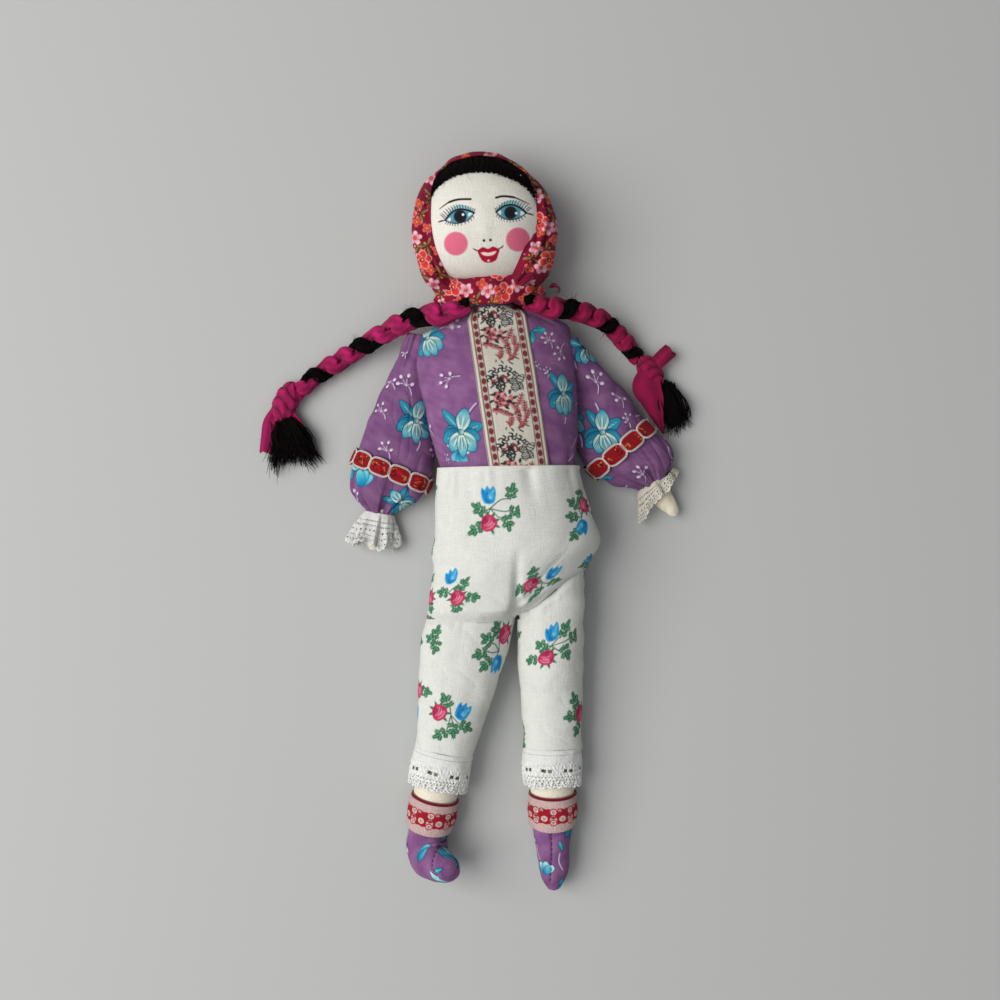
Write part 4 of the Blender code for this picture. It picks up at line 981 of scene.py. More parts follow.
def ribbon_motif(p):
    """One repeat of the woven ribbon: dark line flowers, a winged leaf, a rose and brick leaves."""
    dark, rosy, brick = rgb(32, 36, 38), rgb(208, 110, 118), rgb(142, 46, 58)
    r = np.random.default_rng(40)
    p.u, p.v = p.u / 1.40, p.v / 1.09
    # Dark open flowers and their tendrils
    for x, y, turn in ((-3.2, -2.0, 2.2), (-0.6, -1.0, 1.2), (1.4, -2.4, 0.6), (-4.4, -4.4, 3.2),
                       (0.0, -4.6, 1.8), (-2.6, -7.4, 4.0)):
        for k in range(4):
            a = turn + k * TAU / 4 + 0.3
            p.line([(x, y), (x + 1.0 * math.cos(a), y + 1.0 * math.sin(a)),
                    (x + 1.5 * math.cos(a + 0.6), y + 1.5 * math.sin(a + 0.6))], 0.46, dark)
    for x, y in ((-2.2, -4.8), (-1.2, -5.6), (0.6, -5.8), (-0.4, -4.4), (-3.8, -6.0)):
        p.oval(x, y, 0.55, 0.5, 0, brick, rosy, 0.15)
    p.line([(-4.8, -8.2), (-2.6, -6.2), (0.2, -6.6), (2.2, -4.6)], 0.42, dark)
    p.line([(-1.2, -9.8), (-0.6, -7.4), (-1.6, -4.4)], 0.42, dark)
    for k in range(15):
        x, y = r.uniform(-5.0, 4.8), r.uniform(-10.0, -0.6)
        a = r.uniform(0, TAU)
        p.line([(x, y), (x + 0.9 * math.cos(a), y + 0.9 * math.sin(a)),
                (x + 1.1 * math.cos(a + 0.9), y + 1.1 * math.sin(a + 0.9))], 0.42, dark)
    # Winged leaf, striped
    for turn, far in ((1.35, 3.6), (0.85, 3.8), (-0.9, 2.8), (-1.7, 2.8), (2.2, 2.2)):
        c, s = math.cos(turn), math.sin(turn)
        x, y = 2.6 + far * 0.5 * c, -7.2 + far * 0.5 * s
        p.oval(x, y, far * 0.55, 1.05, turn, rgb(206, 203, 192), dark, 0.30, point=0.5)
        for step in (-0.6, 0.0, 0.6):
            p.line([(x + c * far * 0.45 * step - s * 0.85, y + s * far * 0.45 * step + c * 0.85),
                    (x + c * far * 0.45 * (step + 0.2) + s * 0.85,
                     y + s * far * 0.45 * (step + 0.2) - c * 0.85)],
                   0.30, dark, smooth=False)
    # Rose of broken patches
    for k in range(48):
        a, far = r.uniform(0, TAU), math.sqrt(r.uniform(0, 1)) * 3.0
        x, y = -1.6 + far * math.cos(a), -12.8 + far * math.sin(a)
        p.oval(x, y, r.uniform(0.45, 1.0), r.uniform(0.25, 0.5), r.uniform(0, 3),
               (rosy, brick, rgb(228, 166, 168), dark, rosy, brick)[k % 6])
    for turn in (0.1, 0.9, 1.7, 2.5, 3.3, 4.1, 4.9, 5.7):
        p.oval(-1.6 + 3.5 * math.cos(turn), -12.8 + 3.3 * math.sin(turn), 1.0, 0.42, turn + 0.5, dark,
               point=0.4)
    # Brick leaves with pale veins
    for x, y, turn, length in ((3.2, -13.4, 1.2, 2.6), (4.2, -16.2, 1.5, 2.4), (1.6, -16.4, 2.0, 2.4),
                               (4.6, -19.2, 1.2, 2.2), (2.0, -19.6, 1.6, 2.4), (-1.4, -18.2, 2.6, 2.2),
                               (-3.6, -16.8, 3.0, 1.8), (-0.4, -21.4, 1.3, 2.0), (3.0, -22.6, 0.9, 2.0)):
        c, s = math.cos(turn), math.sin(turn)
        p.line([(x - c * length, y - s * length), (x + c * length, y + s * length)], 0.34, brick,
               smooth=False)
        for k in (-0.75, -0.35, 0.05, 0.45):
            far = 0.95 * (1 - 0.5 * abs(k + 0.1))
            for way in (-1, 1):
                p.oval(x + c * length * (k + 0.14) - s * far * 0.55 * way,
                       y + s * length * (k + 0.14) + c * far * 0.55 * way,
                       0.62, 0.24, turn + way * 0.7, (brick, rgb(176, 84, 92))[way > 0])
    for k in range(16):
        x, y = r.uniform(-5.2, 5.0), r.uniform(-25.4, -15)
        p.line([(x, y), (x + r.uniform(-0.9, 0.9), y + r.uniform(-0.9, 0.9))], 0.40, (dark, brick)[k % 2],
               smooth=False)


ribbon, ribbon_grid = make_ribbon()


# The legs: place and slant of each sewn crease, the leg's angle and length, and how wide and long
# each trouser leg is
CREASE_ANGLE = {"right": math.radians(3.2), "left": math.radians(35.4)}
CREASE = {side: math.tan(CREASE_ANGLE[side] - TILT) for side in SIDES}
LEG_Z = 15.0
HIP = {"right": np.array([-12.0, -95.3, LEG_Z]), "left": np.array([22.6, -84.0, LEG_Z])}
SEAM_ANGLE = math.atan2(11.3, 34.6)
LEG_ANGLE = {"right": math.radians(-11.2), "left": math.radians(0.5)}
LEG_LENGTH = {"right": 94.5, "left": 102.5}
THIGH = {"right": 37.6, "left": 29.0}
HEM = {"right": 25.6, "left": 25.2}
TROUSER = {"right": 57.5, "left": 66.0}
CROTCH_X = float(turned(HIP["right"], (0, 0, 0), -TILT)[0] + THIGH["right"] / 2 + 0.3)

# Posies by pixel of the photograph, then rosebud, blue bell and leaves as (right, up, turn) from there
SEAT_POSIES = (
    (490, 509, (-2, -14, 2.5), (-1, 13, 0.1),
     ((22, 16, 1.4), (25, -3, -0.1), (17, -13, -1.3), (-15, -20, 3.6), (-11, -1, 2.6))),
    (582, 516, (3, 13, 0.3), (2, -12, 3.0), ((-12, 11, 2.8), (-5, 23, 1.9), (-11, -3, 3.4), (-5, -21, -2.0))),
    (454, 588, (3, -12, 2.6), (-5, 14, 0.2), ((-13, -3, 2.9), (9, 1, 0.9), (18, -15, -0.3), (0, -24, -1.6))),
    (542, 583, (-12, 5, 0.6), (11, 8, -0.4),
     ((-12, 19, 1.7), (-24, 6, 3.0), (-3, -12, -1.9), (13, -8, -0.5))),
    (503, 651, None, None, ()),
    (566, 622, None, None, ((0, 0, 0.4),)),
    (433, 540, None, None, ((0, 0, 2.2), (-4, -10, 3.4))),
    (536, 532, None, None, ()),
    (580, 478, None, None, ()),
)
TROUSER_POSIES = {
    "right": (
        (499, 651, (8, 14, 2.6), (-2, -12, 2.9),
         ((-13, 14, 2.4), (-20, 3, 3.2), (-15, -8, 3.8), (-3, 21, 1.8))),
        (435, 639, None, None, ((0, 6, 1.2), (1, -8, -1.9), (-5, 0, 2.6))),
        (451, 715, (-12, 3, 2.8), (12, 3, -0.5),
         ((-4, 14, 2.0), (2, -14, -1.6), (14, -12, -0.5), (-10, -20, 3.6))),
        (507, 692, None, None, ()),
    ),
    "left": (
        (551, 646, (-5, -11, 1.6), (1, 13, 0.1),
         ((14, 11, 0.9), (25, 2, 0.1), (15, -9, -1.2), (-21, -11, 3.1), (-10, 2, 2.3))),
        (580, 712, (0, -1, 2.7), None, ((-8, 11, 2.0), (-12, -2, 3.2), (-4, -15, -2.2))),
        (519, 736, None, None, ((0, 6, 1.6), (0, -6, -1.4))),
        (521, 672, None, None, ()), (583, 645, None, None, ()),
    ),
}


def seat_rows():
    """The trouser seat's sections from the waist to the crotch."""
    return [(-WAIST - place * SEAT_LENGTH, w * SEAT[0], d * SEAT[1], shift * 2, resting(d * SEAT[1]),
             -0.075 * (1 - min(place / 0.35, 1.0)))
            for place, w, d, _, shift in SEAT_SHARES]


def make_seat():
    """The trousers' upper part, gathered at the waist and folded at the crotch."""
    grid, angles = loft(seat_rows(), 215, 330, lengths=[0])
    place = (-WAIST - grid[..., 1]) / SEAT_LENGTH
    rise = np.clip(place, 0, 1) ** 4
    side = grid[..., 0] - CROTCH_X
    grid[..., 1] += rise * np.where(side > 0, side * CREASE["left"], side * CREASE["right"])
    # Round the cloth in towards the seams at the bottom
    near = np.clip((place - 0.95) / 0.05, 0, 1)
    middle = grid[-1, :, 2].mean()
    grid[..., 2] = middle + (grid[..., 2] - middle) * (1 - 0.15 * near**2.0)
    n = outward(grid)
    along = rows_share(grid)
    calm = np.clip(1 - near, 0, 1)
    swell(grid, n, 0.5 * waves(grid, 30, 12, 2) * calm)
    swell(grid, n, -0.20 * wrinkles(grid, 34, 73) * calm * np.clip(along / 0.1, 0, 1))
    gather = folds(grid, angles, 70, 1.0, 15)
    swell(grid, n, -0.42 * gather * np.exp(-(along / 0.22) ** 2) * np.clip(along / 0.03, 0.15, 1))
    swell(grid, n, -0.22 * np.exp(-((along - 0.155) / 0.02) ** 2))
    # The fold that runs up from the crotch, and the dents beside it
    lean = grid[..., 0] - CROTCH_X - 0.13 * (grid[..., 1] + CROTCH)
    top = np.clip((grid[..., 2] - 15) / 6, 0, 1)
    low = np.clip((place - 0.84) / 0.16, 0, 1)
    grid[..., 2] -= (10.0 * np.exp(-((lean / 3.0) ** 2)) * low**2.2) * top
    grid[..., 2] -= 2.8 * np.exp(-((lean / 2.0) ** 2)) * np.clip((place - 0.52) / 0.4, 0, 1) ** 0.8 * top
    for slope, x0, deep in ((0.55, 9.0, 0.8), (0.9, 14.0, 0.6), (-0.6, -8.0, 0.5)):
        line = (grid[..., 1] + CROTCH - 6.0) - slope * abs(side) * np.sign(x0)
        grid[..., 2] -= deep * np.exp(-((line / 1.6) ** 2)) * np.exp(-(((side - x0) / 9.0) ** 2)) * top
    # The lower edge comes down on the rounded tops of the legs beside the crotch
    hem_z = np.full(grid.shape[:2], 19.0)
    for leg in SIDES:
        half, x = THIGH[leg] / 2, turned(HIP[leg], (0, 0, 0), -TILT)[0]
        across = np.clip(1 - ((grid[..., 0] - x) / half) ** 2, 0, 1)
        inner = (grid[..., 0] - x) * -SIGN[leg] > 0
        hem_z = np.maximum(hem_z, np.where(inner | (across > 0), 14.0 + 14.5 * np.sqrt(across) + 0.4, 0))
    drop = np.clip(grid[..., 2] - hem_z, 0, None) * np.clip((place - 0.92) / 0.08, 0, 1) ** 1.5
    grid[..., 2] -= drop * np.clip((15.0 - abs(side)) / 3.0, 0, 1) * (grid[..., 2] > 16)
    grid = turned(rest(grid), (0, 0, 0), TILT)
    p = Cloth(grid, WHITE)
    p.soft = 0.3
    for x, y, pink, blue, leaves in SEAT_POSIES:
        p.pix(x, y)
        sprig(p, pink, blue, leaves)
    sprig_fill(p, 21)
    closed, paint = hem(grid, p.result(), 0.8, ends=(True, False))
    made = piece("trouser_seat_cloth", closed, paint, trouser_cloth, "torso", ["trouser_seat"])
    return made, grid


seat, seat_grid = make_seat()


# Legs


def make_trouser(side):
    """A trouser leg, sewn to the seat at the slanting crease and gathered there."""
    slope = math.tan(CREASE_ANGLE[side] - LEG_ANGLE[side])
    rows = []
    for place, wide, deep, lean in (
        (-0.07, 0.96, 0.62, 1.0), (0.0, 1.0, 0.97, 1.0), (0.07, 1.0, 1.0, 0.9), (0.20, 0.96, 0.96, 0.6),
        (0.48, 0.62, 0.66, 0.2), (0.75, 0.28, 0.32, 0.0), (1.0, 0.0, 0.0, 0.0),
    ):
        width = HEM[side] + (THIGH[side] - HEM[side]) * wide
        depth = 21.5 + (29.0 - 21.5) * deep
        if place < 0:
            depth = 22.5
        middle = resting(14.5 if place < 0.01 else depth / 2) - LEG_Z
        rows.append((-0.6 - place * TROUSER[side], width / 2, depth / 2, 0, middle, slope * lean))
    grid, angles = loft(rows, 190, 330, lengths=[0])
    n = outward(grid)
    along = rows_share(grid)
    seed = 31 if side == "right" else 37
    swell(grid, n, 0.5 * waves(grid, 24, seed, 2))
    swell(grid, n, -0.25 * wrinkles(grid * [1.0, 1.6, 1.0], 26, seed + 3) * np.clip(along / 0.12, 0, 1)
          * np.clip((1 - along) / 0.1, 0, 1))
    swell(grid, n, folds(grid, angles, 26, -0.38, seed + 1) * np.exp(-(along / 0.13) ** 2))
    place = rest(turned(grid, HIP[side], LEG_ANGLE[side]))
    p = Cloth(place, WHITE)
    p.soft = 0.3
    for x, y, pink, blue, leaves in TROUSER_POSIES[side]:
        p.pix(x, y)
        sprig(p, pink, blue, leaves)
    sprig_fill(p, seed, 19.0)
    closed, paint = hem(place, p.result(), 0.8, ends=(False, True))
    made = piece(f"{side}_trouser_cloth", closed, paint, trouser_cloth, None, [f"{side}_trouser_leg"])
    start = HIP[side] + turned([0, 4.0, 0], (0, 0, 0), CREASE_ANGLE[side])
    end = HIP[side] + turned([0, -12.0, 0], (0, 0, 0), CREASE_ANGLE[side])
    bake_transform(made)
    return made, place


LACE = 16.2


def make_hem_lace(side):
    """The lace on a trouser leg's lower edge: a band with pairs of slots, then a net with a waved edge."""
    top = -0.6 - TROUSER[side] - 0.3
    rows = [(top - drop, HEM[side] / 2 * wide, depth, 0, middle - LEG_Z, 0)
            for drop, wide, depth, middle in ((-1.2, 0.95, 10.4, 10.75), (0.4, 0.985, 10.7, 10.75),
                                              (5.0, 1.0, 10.85, 10.75), (10.0, 1.0, 10.8, 10.7),
                                              (15.0, 0.975, 10.5, 10.5))]
    grid, _ = loft(rows, 84, 560, back=0.8, lengths=[0])
    s, _ = flat_of(grid)
    around = float(s[30].max() - s[30].min())
    pitch = around / 21
    s2 = (s[:, :1] - s) / pitch
    wander = 0.45 * np.sin(s2 * 0.9) + 0.3 * np.sin(s2 * 2.3 + 1) + 0.25 * np.sin(s2 * 4.1)
    wave = abs(np.sin((s2 + 0.3 * wander) * math.pi)) ** 0.6
    along = rows_share(grid)
    grid[..., 1] += ((1 - wave) * 1.0 + 0.5 * wander) * along**4
    n = outward(grid)
    down = along * LACE + 0 * s2
    lacy = np.clip((down - 4.2) / 2.0, 0, 1)
    work = waves(np.stack([s, down, 0 * s], -1), 1.5, 151, 2)
    work = work + 0.6 * np.sin(s2 * TAU * 1.5 + 2 * wander) * np.sin(down * 1.7)
    swell(grid, n, 0.22 * np.sin(s2 * TAU * 0.5 + wander) * along + 0.3 * waves(grid, 14, 51, 2)
          + 0.13 * work * lacy)
    keep = np.ones(grid.shape[:2], bool)
    # Pairs of narrow openings, and small holes of the net near the edge
    slot = (s2 / 2.6 + 0.06 * wander) % 1.0
    for left, right in ((0.10, 0.30), (0.38, 0.56)):
        keep &= ~((slot > left) & (slot < right) & (abs(down - 8.4 - 0.3 * wander) < 0.72))
    for k, (y, r, many) in enumerate(((11.2, 0.30, 2.5), (12.6, 0.34, 2.5), (13.8, 0.42, 1.5),
                                      (14.9, 0.34, 2.5))):
        c = (s2 * many + 0.5 * (k % 2) + 0.2 * wander) % 1.0 - 0.5
        keep &= ~(np.hypot(c * pitch / many, down - y) < r)
    stitch = np.exp(-((down - 1.9) / 0.14) ** 2)
    grid -= n * (0.12 * stitch)[..., None]
    place = rest(turned(grid, HIP[side], LEG_ANGLE[side]))
    # The tone is 20% darker along the stitched line; it is lighter on the raised lace work and darker in its
    # dips, a painted shade that follows the relief.
    tone = 0.97 - 0.20 * stitch + 0.05 * work * lacy
    paint = rgb(240, 240, 236) * tone[..., None]
    made = piece(f"{side}_hem_lace_net", place, paint, lace_cloth, f"{side}_leg", [f"{side}_hem_lace"],
                 keep=keep, thickness=0.4)
    return made, place


CALF = (11.8, 9.8)


def make_calf(side):
    """The stuffed calico leg, sewn flat at the hip."""
    narrow = min(1.0, (THIGH[side] / 2 - 1.5) / CALF[0])
    ankle = LEG_LENGTH[side] - 8.7
    slope = math.tan(SEAM_ANGLE - LEG_ANGLE[side])
    rows = []
    for place, w, d, lift, lean in ((0.0, 0.88, 0.0, 1.0, 1.0), (0.055, 0.96, 0.34, 0.86, 0.8),
                                    (0.14, 1.0, 0.74, 0.5, 0.5), (0.3, 1.0, 1.0, 0, 0),
                                    (0.6, 0.91, 0.95, 0, 0), (0.8, 0.82, 0.90, 0, 0),
                                    (1.0, 0.78, 0.87, 0, 0)):
        half = max(d * CALF[1], 0.8)
        low = half + 0.8
        rows.append((-1.1 - place * (ankle - 0.8), w * CALF[0] * narrow, half, 0,
                     low + lift * (LEG_Z - low) - LEG_Z, slope * lean))
    grid, _ = loft(rows, 120, 110, lengths=[0])
    place = turned(grid, HIP[side], LEG_ANGLE[side])
    paint = plain(place, 232, 224, 205)
    made = piece(f"{side}_calico_leg", place, paint, calico, f"{side}_leg", [f"{side}_leg"],
                 closed=True)
    return rows[-1]


def make_band(side, end):
    """The knitted ankle band round the calico leg's end, which is a row of its loft."""
    length = LEG_LENGTH[side]
    half, deep, z = end[1] + 1.3, end[2] + 1.3, end[4]
    top = -length + 17.2
    rows = [(top, half - 0.35, deep - 0.35, 0, z, 0), (-length + 9, half + 0.15, deep + 0.15, 0, z, 0),
            (-length + 3.2, half - 0.75, deep - 0.55, 0, z, 0)]
    grid, angles = loft(rows, 80, 380, back=0.7, lengths=[0])
    along = rows_share(grid)
    # It sags at the front, and its edges are knitted
    grid[..., 1] -= (1.1 + 0.7 * along) * np.clip(np.sin(angles), 0, 1)[None, :] ** 1.5
    grid[..., 1] += 0.28 * abs(np.sin(angles * 22))[None, :] * np.clip((along - 0.9) / 0.1, 0, 1)
    n = outward(grid)
    s, t = flat_of(grid)
    around = float(s[20].max() - s[20].min())
    knit = abs(np.sin(s / 0.62 * math.pi)) ** 0.6 * (0.75 + 0.25 * np.sin(t / 0.55 * TAU))
    swell(grid, n, 0.22 * waves(grid, 9, 57, 2) + 0.16 * knit)
    p = Cloth(rest(turned(grid, HIP[side], LEG_ANGLE[side])), rgb(230, 204, 198), (s, t))
    p.soft = 0.2
    p.at(0, 0, reach=1e6)
    red, cream, dark = rgb(178, 22, 44), rgb(238, 222, 208), rgb(120, 12, 32)
    p.line([(-60, -0.6), (60, -0.6)], 1.2, dark, smooth=False)
    count = max(round(around / 8.4), 1)
    step = around / count
    for k in range(count):
        x = (k - count / 2 + 0.5) * step
        p.at(x, -7.6)
        p.area([(-2.2, 3.2), (-0.8, 3.4), (0.8, 3.0), (2.4, 3.4), (2.6, 1.2), (3.4, 0.4), (2.5, -0.8),
                (2.4, -3.0), (0.7, -3.4), (-0.6, -3.0), (-2.3, -3.4), (-2.5, -0.8), (-3.4, 0.2),
                (-2.5, 1.4)], red, False)
        for x1, y1, size in ((0, -1.0, 1.45), (step / 2, 1.9, 1.35), (-step / 2, 1.9, 1.35),
                             (step / 2, -2.6, 1.2), (-step / 2, -2.6, 1.2), (-1.2, 2.6, 0.75)):
            p.oval(x1, y1, size + 0.35, size + 0.2, 0, red)
            p.oval(x1, y1, size, size * 0.85, 0, cream)
            for a in (0.4, 2.5, 4.6):
                p.oval(x1 + 0.45 * math.cos(a), y1 + 0.4 * math.sin(a), 0.26, 0.2, 0, rgb(120, 40, 44))
        for k2 in (-1, 1):
            p.oval(k2 * step / 2, -0.4, 0.9, 0.5, 0, red)
    # Knitted stitches: the grooves between the stitch columns are painted darker, a painted shade, and each
    # row gets a darker band
    p.at(0, 0, reach=1e6)
    stitch = 1 - abs(np.sin(p.u / 0.62 * math.pi)) ** 0.5
    row = 0.5 + 0.5 * np.sin(p.v / 0.55 * TAU)
    p.put(0.34 * stitch + 0.12 * row, rgb(96, 34, 42))
    closed, paint = hem(p.grid, p.result(), 0.6, 2.0)
    made = piece(f"{side}_ankle_band_weave", closed, paint, band_cloth, f"{side}_leg", [f"{side}_ankle_band"])
    return made, p.grid


def route_tube(route, sizes, around):
    """A tube along a route with a half width at each point."""
    _, across, up = route_frame(route)
    turn = -math.pi / 2 + np.arange(around) / around * TAU
    c, s = np.cos(turn)[None, :, None], np.sin(turn)[None, :, None]
    sizes = sizes[:, None, None]
    return route[:, None] + across[:, None] * c * sizes + up[:, None] * s * sizes


# Half widths of the ankle and the shoe, each shoe's route from the ankle with its shares of that, the ankle's
# place, and the seam over the instep by pixel of the photograph
ANKLE_SIZE, SHOE_SIZE = 8.4, 9.4
SHOE = {
    "right": (((0.9, -4.9, 0.9), (3.2, -9.0, 3.9), (9.3, -9.6, 9.4), (13.0, -8.8, 15.0)),
              (0.98, 0.88, 0.74, 0.44)),
    "left": (((0, -6.0, 0), (0.2, -13.0, -0.5), (0.3, -20.0, -1.4), (0.5, -26.4, -2.4)),
             (0.78, 0.72, 0.58, 0.26)),
}
ANKLE = {"right": np.array([-30.36, -188.0, 9.33]), "left": np.array([23.49, -186.5, 9.33])}
SHOE_SEAM = {
    "right": ((449, 838), (441, 844), (434.5, 854), (432, 866), (437, 878)),
    "left": ((551, 834), (552, 850), (551, 866), (550, 882)),
}


def make_shoe(side):
    """A stuffed shoe of the purple print: a round heel inside the ankle band, then its route to the toe."""
    heel = [math.radians(a) for a in (80, 60, 35, 15, 0)]
    route, shares = SHOE[side]
    points = [(0, ANKLE_SIZE * math.sin(a), 0) for a in heel] + list(route)
    sizes = [ANKLE_SIZE * math.cos(a) for a in heel] + [share * SHOE_SIZE for share in shares]
    rows = even(np.column_stack([points, sizes]), 190, [0, 1, 2])
    tip = np.linspace(0, 1, 190)
    width = rows[:, 3] * np.clip((1.0 - tip) / 0.04, 0.05, 1) ** 0.5
    grid = route_tube(rows[:, :3], width, 260)
    n = outward(grid)
    swell(grid, n, 0.3 * waves(grid, 15, 61, 2) - 0.15 * wrinkles(grid, 12, 63))
    grid = rest(turned(grid, ANKLE[side], LEG_ANGLE[side]))
    p = Cloth(grid, PURPLE)
    seam = SHOE_SEAM[side]
    fine = curve(np.array(seam, float), np.linspace(0, len(seam) - 1, 40))
    swell(grid, n, -0.7 * np.exp(-((near_line(p.seen, fine) / 1.6) ** 2)) * p.front)
    shaded(p, PURPLE, PLUM, 9.0, 5)
    p.soft = 0.3
    shoe_print(p, side)
    purple_fill(p, 71, 10)
    for k, ends in enumerate(zip(fine, fine[1:])):
        if k % 4 < 2:
            p.at(0, 0, reach=1e6)
            found = [p.find(*end) for end in ends]
            p.line([(p.s[place], p.t[place]) for place in found], 0.36, rgb(44, 24, 58), smooth=False)
    made = piece(f"{side}_shoe_cloth", grid, p.result(), purple_cloth, f"{side}_foot", [f"{side}_shoe"],
                 closed=True)
    return made


def shoe_print(p, side):
    """What shows of the print on a shoe."""
    if side == "right":
        p.pix(419, 856, 0.5)
        petals(p, 3, 5, 8, 5, (rgb(0, 110, 155), rgb(110, 205, 215)), rgb(25, 70, 100), 1.3, 2.2,
               rim_width=0.5)
        p.pix(430, 871, 0.4)
        leaf(p, 0.3, 9, 3.2, (rgb(205, 228, 222), rgb(60, 185, 190)))
        p.pix(452, 846, 0.8)
        p.line([(-13, -2), (-6, 5), (2, 7), (9, 3)], 1.4, rgb(214, 205, 220))
        p.line([(-9, -8), (-2, -1), (6, -1)], 1.0, rgb(205, 190, 214))
        p.line([(-4, 11), (2, 13), (7, 10)], 0.9, rgb(205, 190, 214))
        p.pix(443, 868)
        leaf(p, 2.4, 6, 2.4)
    else:
        p.pix(545, 872)
        petals(p, 3, 5, 7, 4.4, (rgb(0, 120, 165), rgb(190, 225, 225)), rgb(25, 70, 100), 1.0, 2.4,
               rim_width=0.5)
        p.pix(559, 862)
        p.line([(-4, -9), (0, 0), (-1, 9)], 1.1, rgb(214, 205, 220))
        p.pix(563, 851)
        leaf(p, 1.2, 6, 2.4)
        p.pix(538, 852)
        p.line([(-3, -7), (1, 0), (0, 8)], 1.0, rgb(205, 190, 214))


for side in SIDES:
    made, grid = make_trouser(side)
    made, grid = make_hem_lace(side)
    made, grid = make_band(side, make_calf(side))
    make_shoe(side)


# Arms

# The arms: where each is sewn on, its angle, the sleeve's length and how far it is gathered to a side; then
# the place and slant of the trim round it, the cuff, how the hand bends and where the wrist is
ARM_Z = 12.5
SHOULDER = {"right": np.array([-34.13, 22.0, ARM_Z]), "left": np.array([30.33, 19.83, ARM_Z])}
ARM_ANGLE = {"right": math.radians(-9.5), "left": math.radians(24.5)}
SLEEVE_LENGTH = {"right": 74.0, "left": 68.0}
GATHER = {"right": -5.0, "left": 10.0}
TRIM = {"right": (55.0, -0.22), "left": (47.5, 0.25)}
CUFF = {
    "right": dict(length=14.5, bend=-1.0, ruffle=1.15, crumple=1.1, sway=1, hole=0.8,
                  colour=rgb(238, 237, 233),
                  rows=((0.0, 0.62, 0.90), (0.35, 0.84, 0.93), (0.70, 0.98, 0.96), (1.0, 1.0, 1.0))),
    "left": dict(length=7.5, bend=-0.5, ruffle=0.75, crumple=0.5, sway=0.5, hole=0.7,
                 colour=rgb(226, 220, 204),
                 rows=((0.0, 0.66, 0.88), (0.35, 0.94, 0.95), (0.70, 1.12, 0.98), (1.0, 1.2, 1.0))),
}
HAND_BEND = {"right": -0.5, "left": 3.0}
WRIST = {"right": np.array([-50.61, -47.23, 5.75]), "left": np.array([66.03, -35.33, 5.86])}
# Half width and half depth of a sleeve, then its rows as shares: place, half width, half depth, lift from the
# table, sway to a side
SLEEVE = (17.5, 9.5)
SLEEVE_SHARES = (
    (-0.055, 0.30, 0.60, 1.00, 0.00), (0.020, 0.40, 0.72, 0.95, 0.00), (0.160, 0.50, 0.84, 0.55, 0.04),
    (0.400, 0.745, 0.96, 0.12, 0.055), (0.620, 0.920, 1.00, 0.00, 0.045), (0.780, 1.000, 0.98, 0.00, 0.02),
    (0.890, 0.840, 0.86, 0.00, 0.00), (0.965, 0.480, 0.62, 0.02, 0.00), (1.000, 0.330, 0.50, 0.05, 0.00),
)


def sleeve_rows(side):
    """A sleeve's sections from the shoulder to the gathers at the wrist."""
    rows = []
    for place, width, depth, lift, sway in SLEEVE_SHARES:
        low = resting(depth * SLEEVE[1])
        ramp = min(max((place - 0.58) / 0.42, 0), 1)
        x = SIGN[side] * sway * 35 + GATHER[side] * ramp * ramp * (3 - 2 * ramp)
        rows.append((-place * SLEEVE_LENGTH[side], width * SLEEVE[0], depth * SLEEVE[1], x,
                     low + lift * (ARM_Z - low) - ARM_Z, 0))
    return rows


def sleeve_print(p, side):
    """The blossoms, buds and stalks that show on a sleeve."""
    if side == "right":
        p.pix(416, 421)
        stalk(p, [(3, -14), (6, -24), (0, -36), (-10, -52)])
        leaf(p, -2.6, 8, 4.2, (rgb(205, 228, 222), rgb(60, 175, 200)))
        big_blossom(p, 3, 1.02)
        for x, y, k in ((406, 384, 0.95), (390, 381, 0.9), (405, 353, 0.5), (381, 411, 0.8), (386, 450, 0.8)):
            p.pix(x, y, 0.5 * k)
            bud(p, int(x), k)
        p.pix(361, 483)
        petals(p, 3, 5, 9, 5, (rgb(0, 120, 165), rgb(120, 205, 215)), rgb(25, 70, 100), 0.6, 2.0,
               rim_width=0.5)
        p.view(401, 503, 0.7)
        big_blossom(p, 6, 0.75)
    else:
        p.view(586, 347, 0.5)
        stalk(p, [(4, -10), (8, -22), (6, -32)])
        big_blossom(p, 5, 0.8)
        p.pix(596, 381, 0.3)
        bud(p, 1, 1.0)
        p.pix(602, 432)
        stalk(p, [(0, 10), (-3, 22), (-6, 30)])
        big_blossom(p, 4, 1.06)
        for x, y, k in ((620, 397, 0.9), (643, 474, 0.9), (628, 420, 0.6), (578, 452, 0.7)):
            p.pix(x, y, 0.6 * k)
            bud(p, int(x), k)


def make_sleeve(side):
    """A full sleeve, gathered at the shoulder and at the wrist."""
    grid, angles = loft(sleeve_rows(side), 210, 300)
    n = outward(grid)
    along = rows_share(grid)
    seed = 81 if side == "right" else 87
    calm = np.clip(along / 0.1, 0, 1) * np.clip((1 - along) / 0.1, 0, 1)
    swell(grid, n, 0.6 * waves(grid, 22, seed, 2))
    swell(grid, n, -0.45 * wrinkles(grid * [1.8, 0.8, 1.0], 24, seed + 5) * calm)
    swell(grid, n, folds(grid, angles, 26, -1.4, seed + 1) * np.exp(-((1 - along) / 0.17) ** 2))
    swell(grid, n, folds(grid, angles, 16, -1.1, seed + 2) * np.exp(-(along / 0.2) ** 2))
    grid = rest(turned(grid, SHOULDER[side], ARM_ANGLE[side]))
    p = Cloth(grid, PURPLE)
    # Painted shade: the sleeves' purple ground is the bodice's, 7% darker.
    shaded(p, PURPLE, PLUM, 9.0, 5, 0.93)
    p.soft = 0.3
    sleeve_print(p, side)
    purple_fill(p, seed, 12.0)
    closed, paint = hem(grid, p.result(), 0.8)
    made = piece(f"{side}_sleeve_cloth", closed, paint, purple_cloth, f"{side}_arm", [f"{side}_sleeve"])
    return made, grid


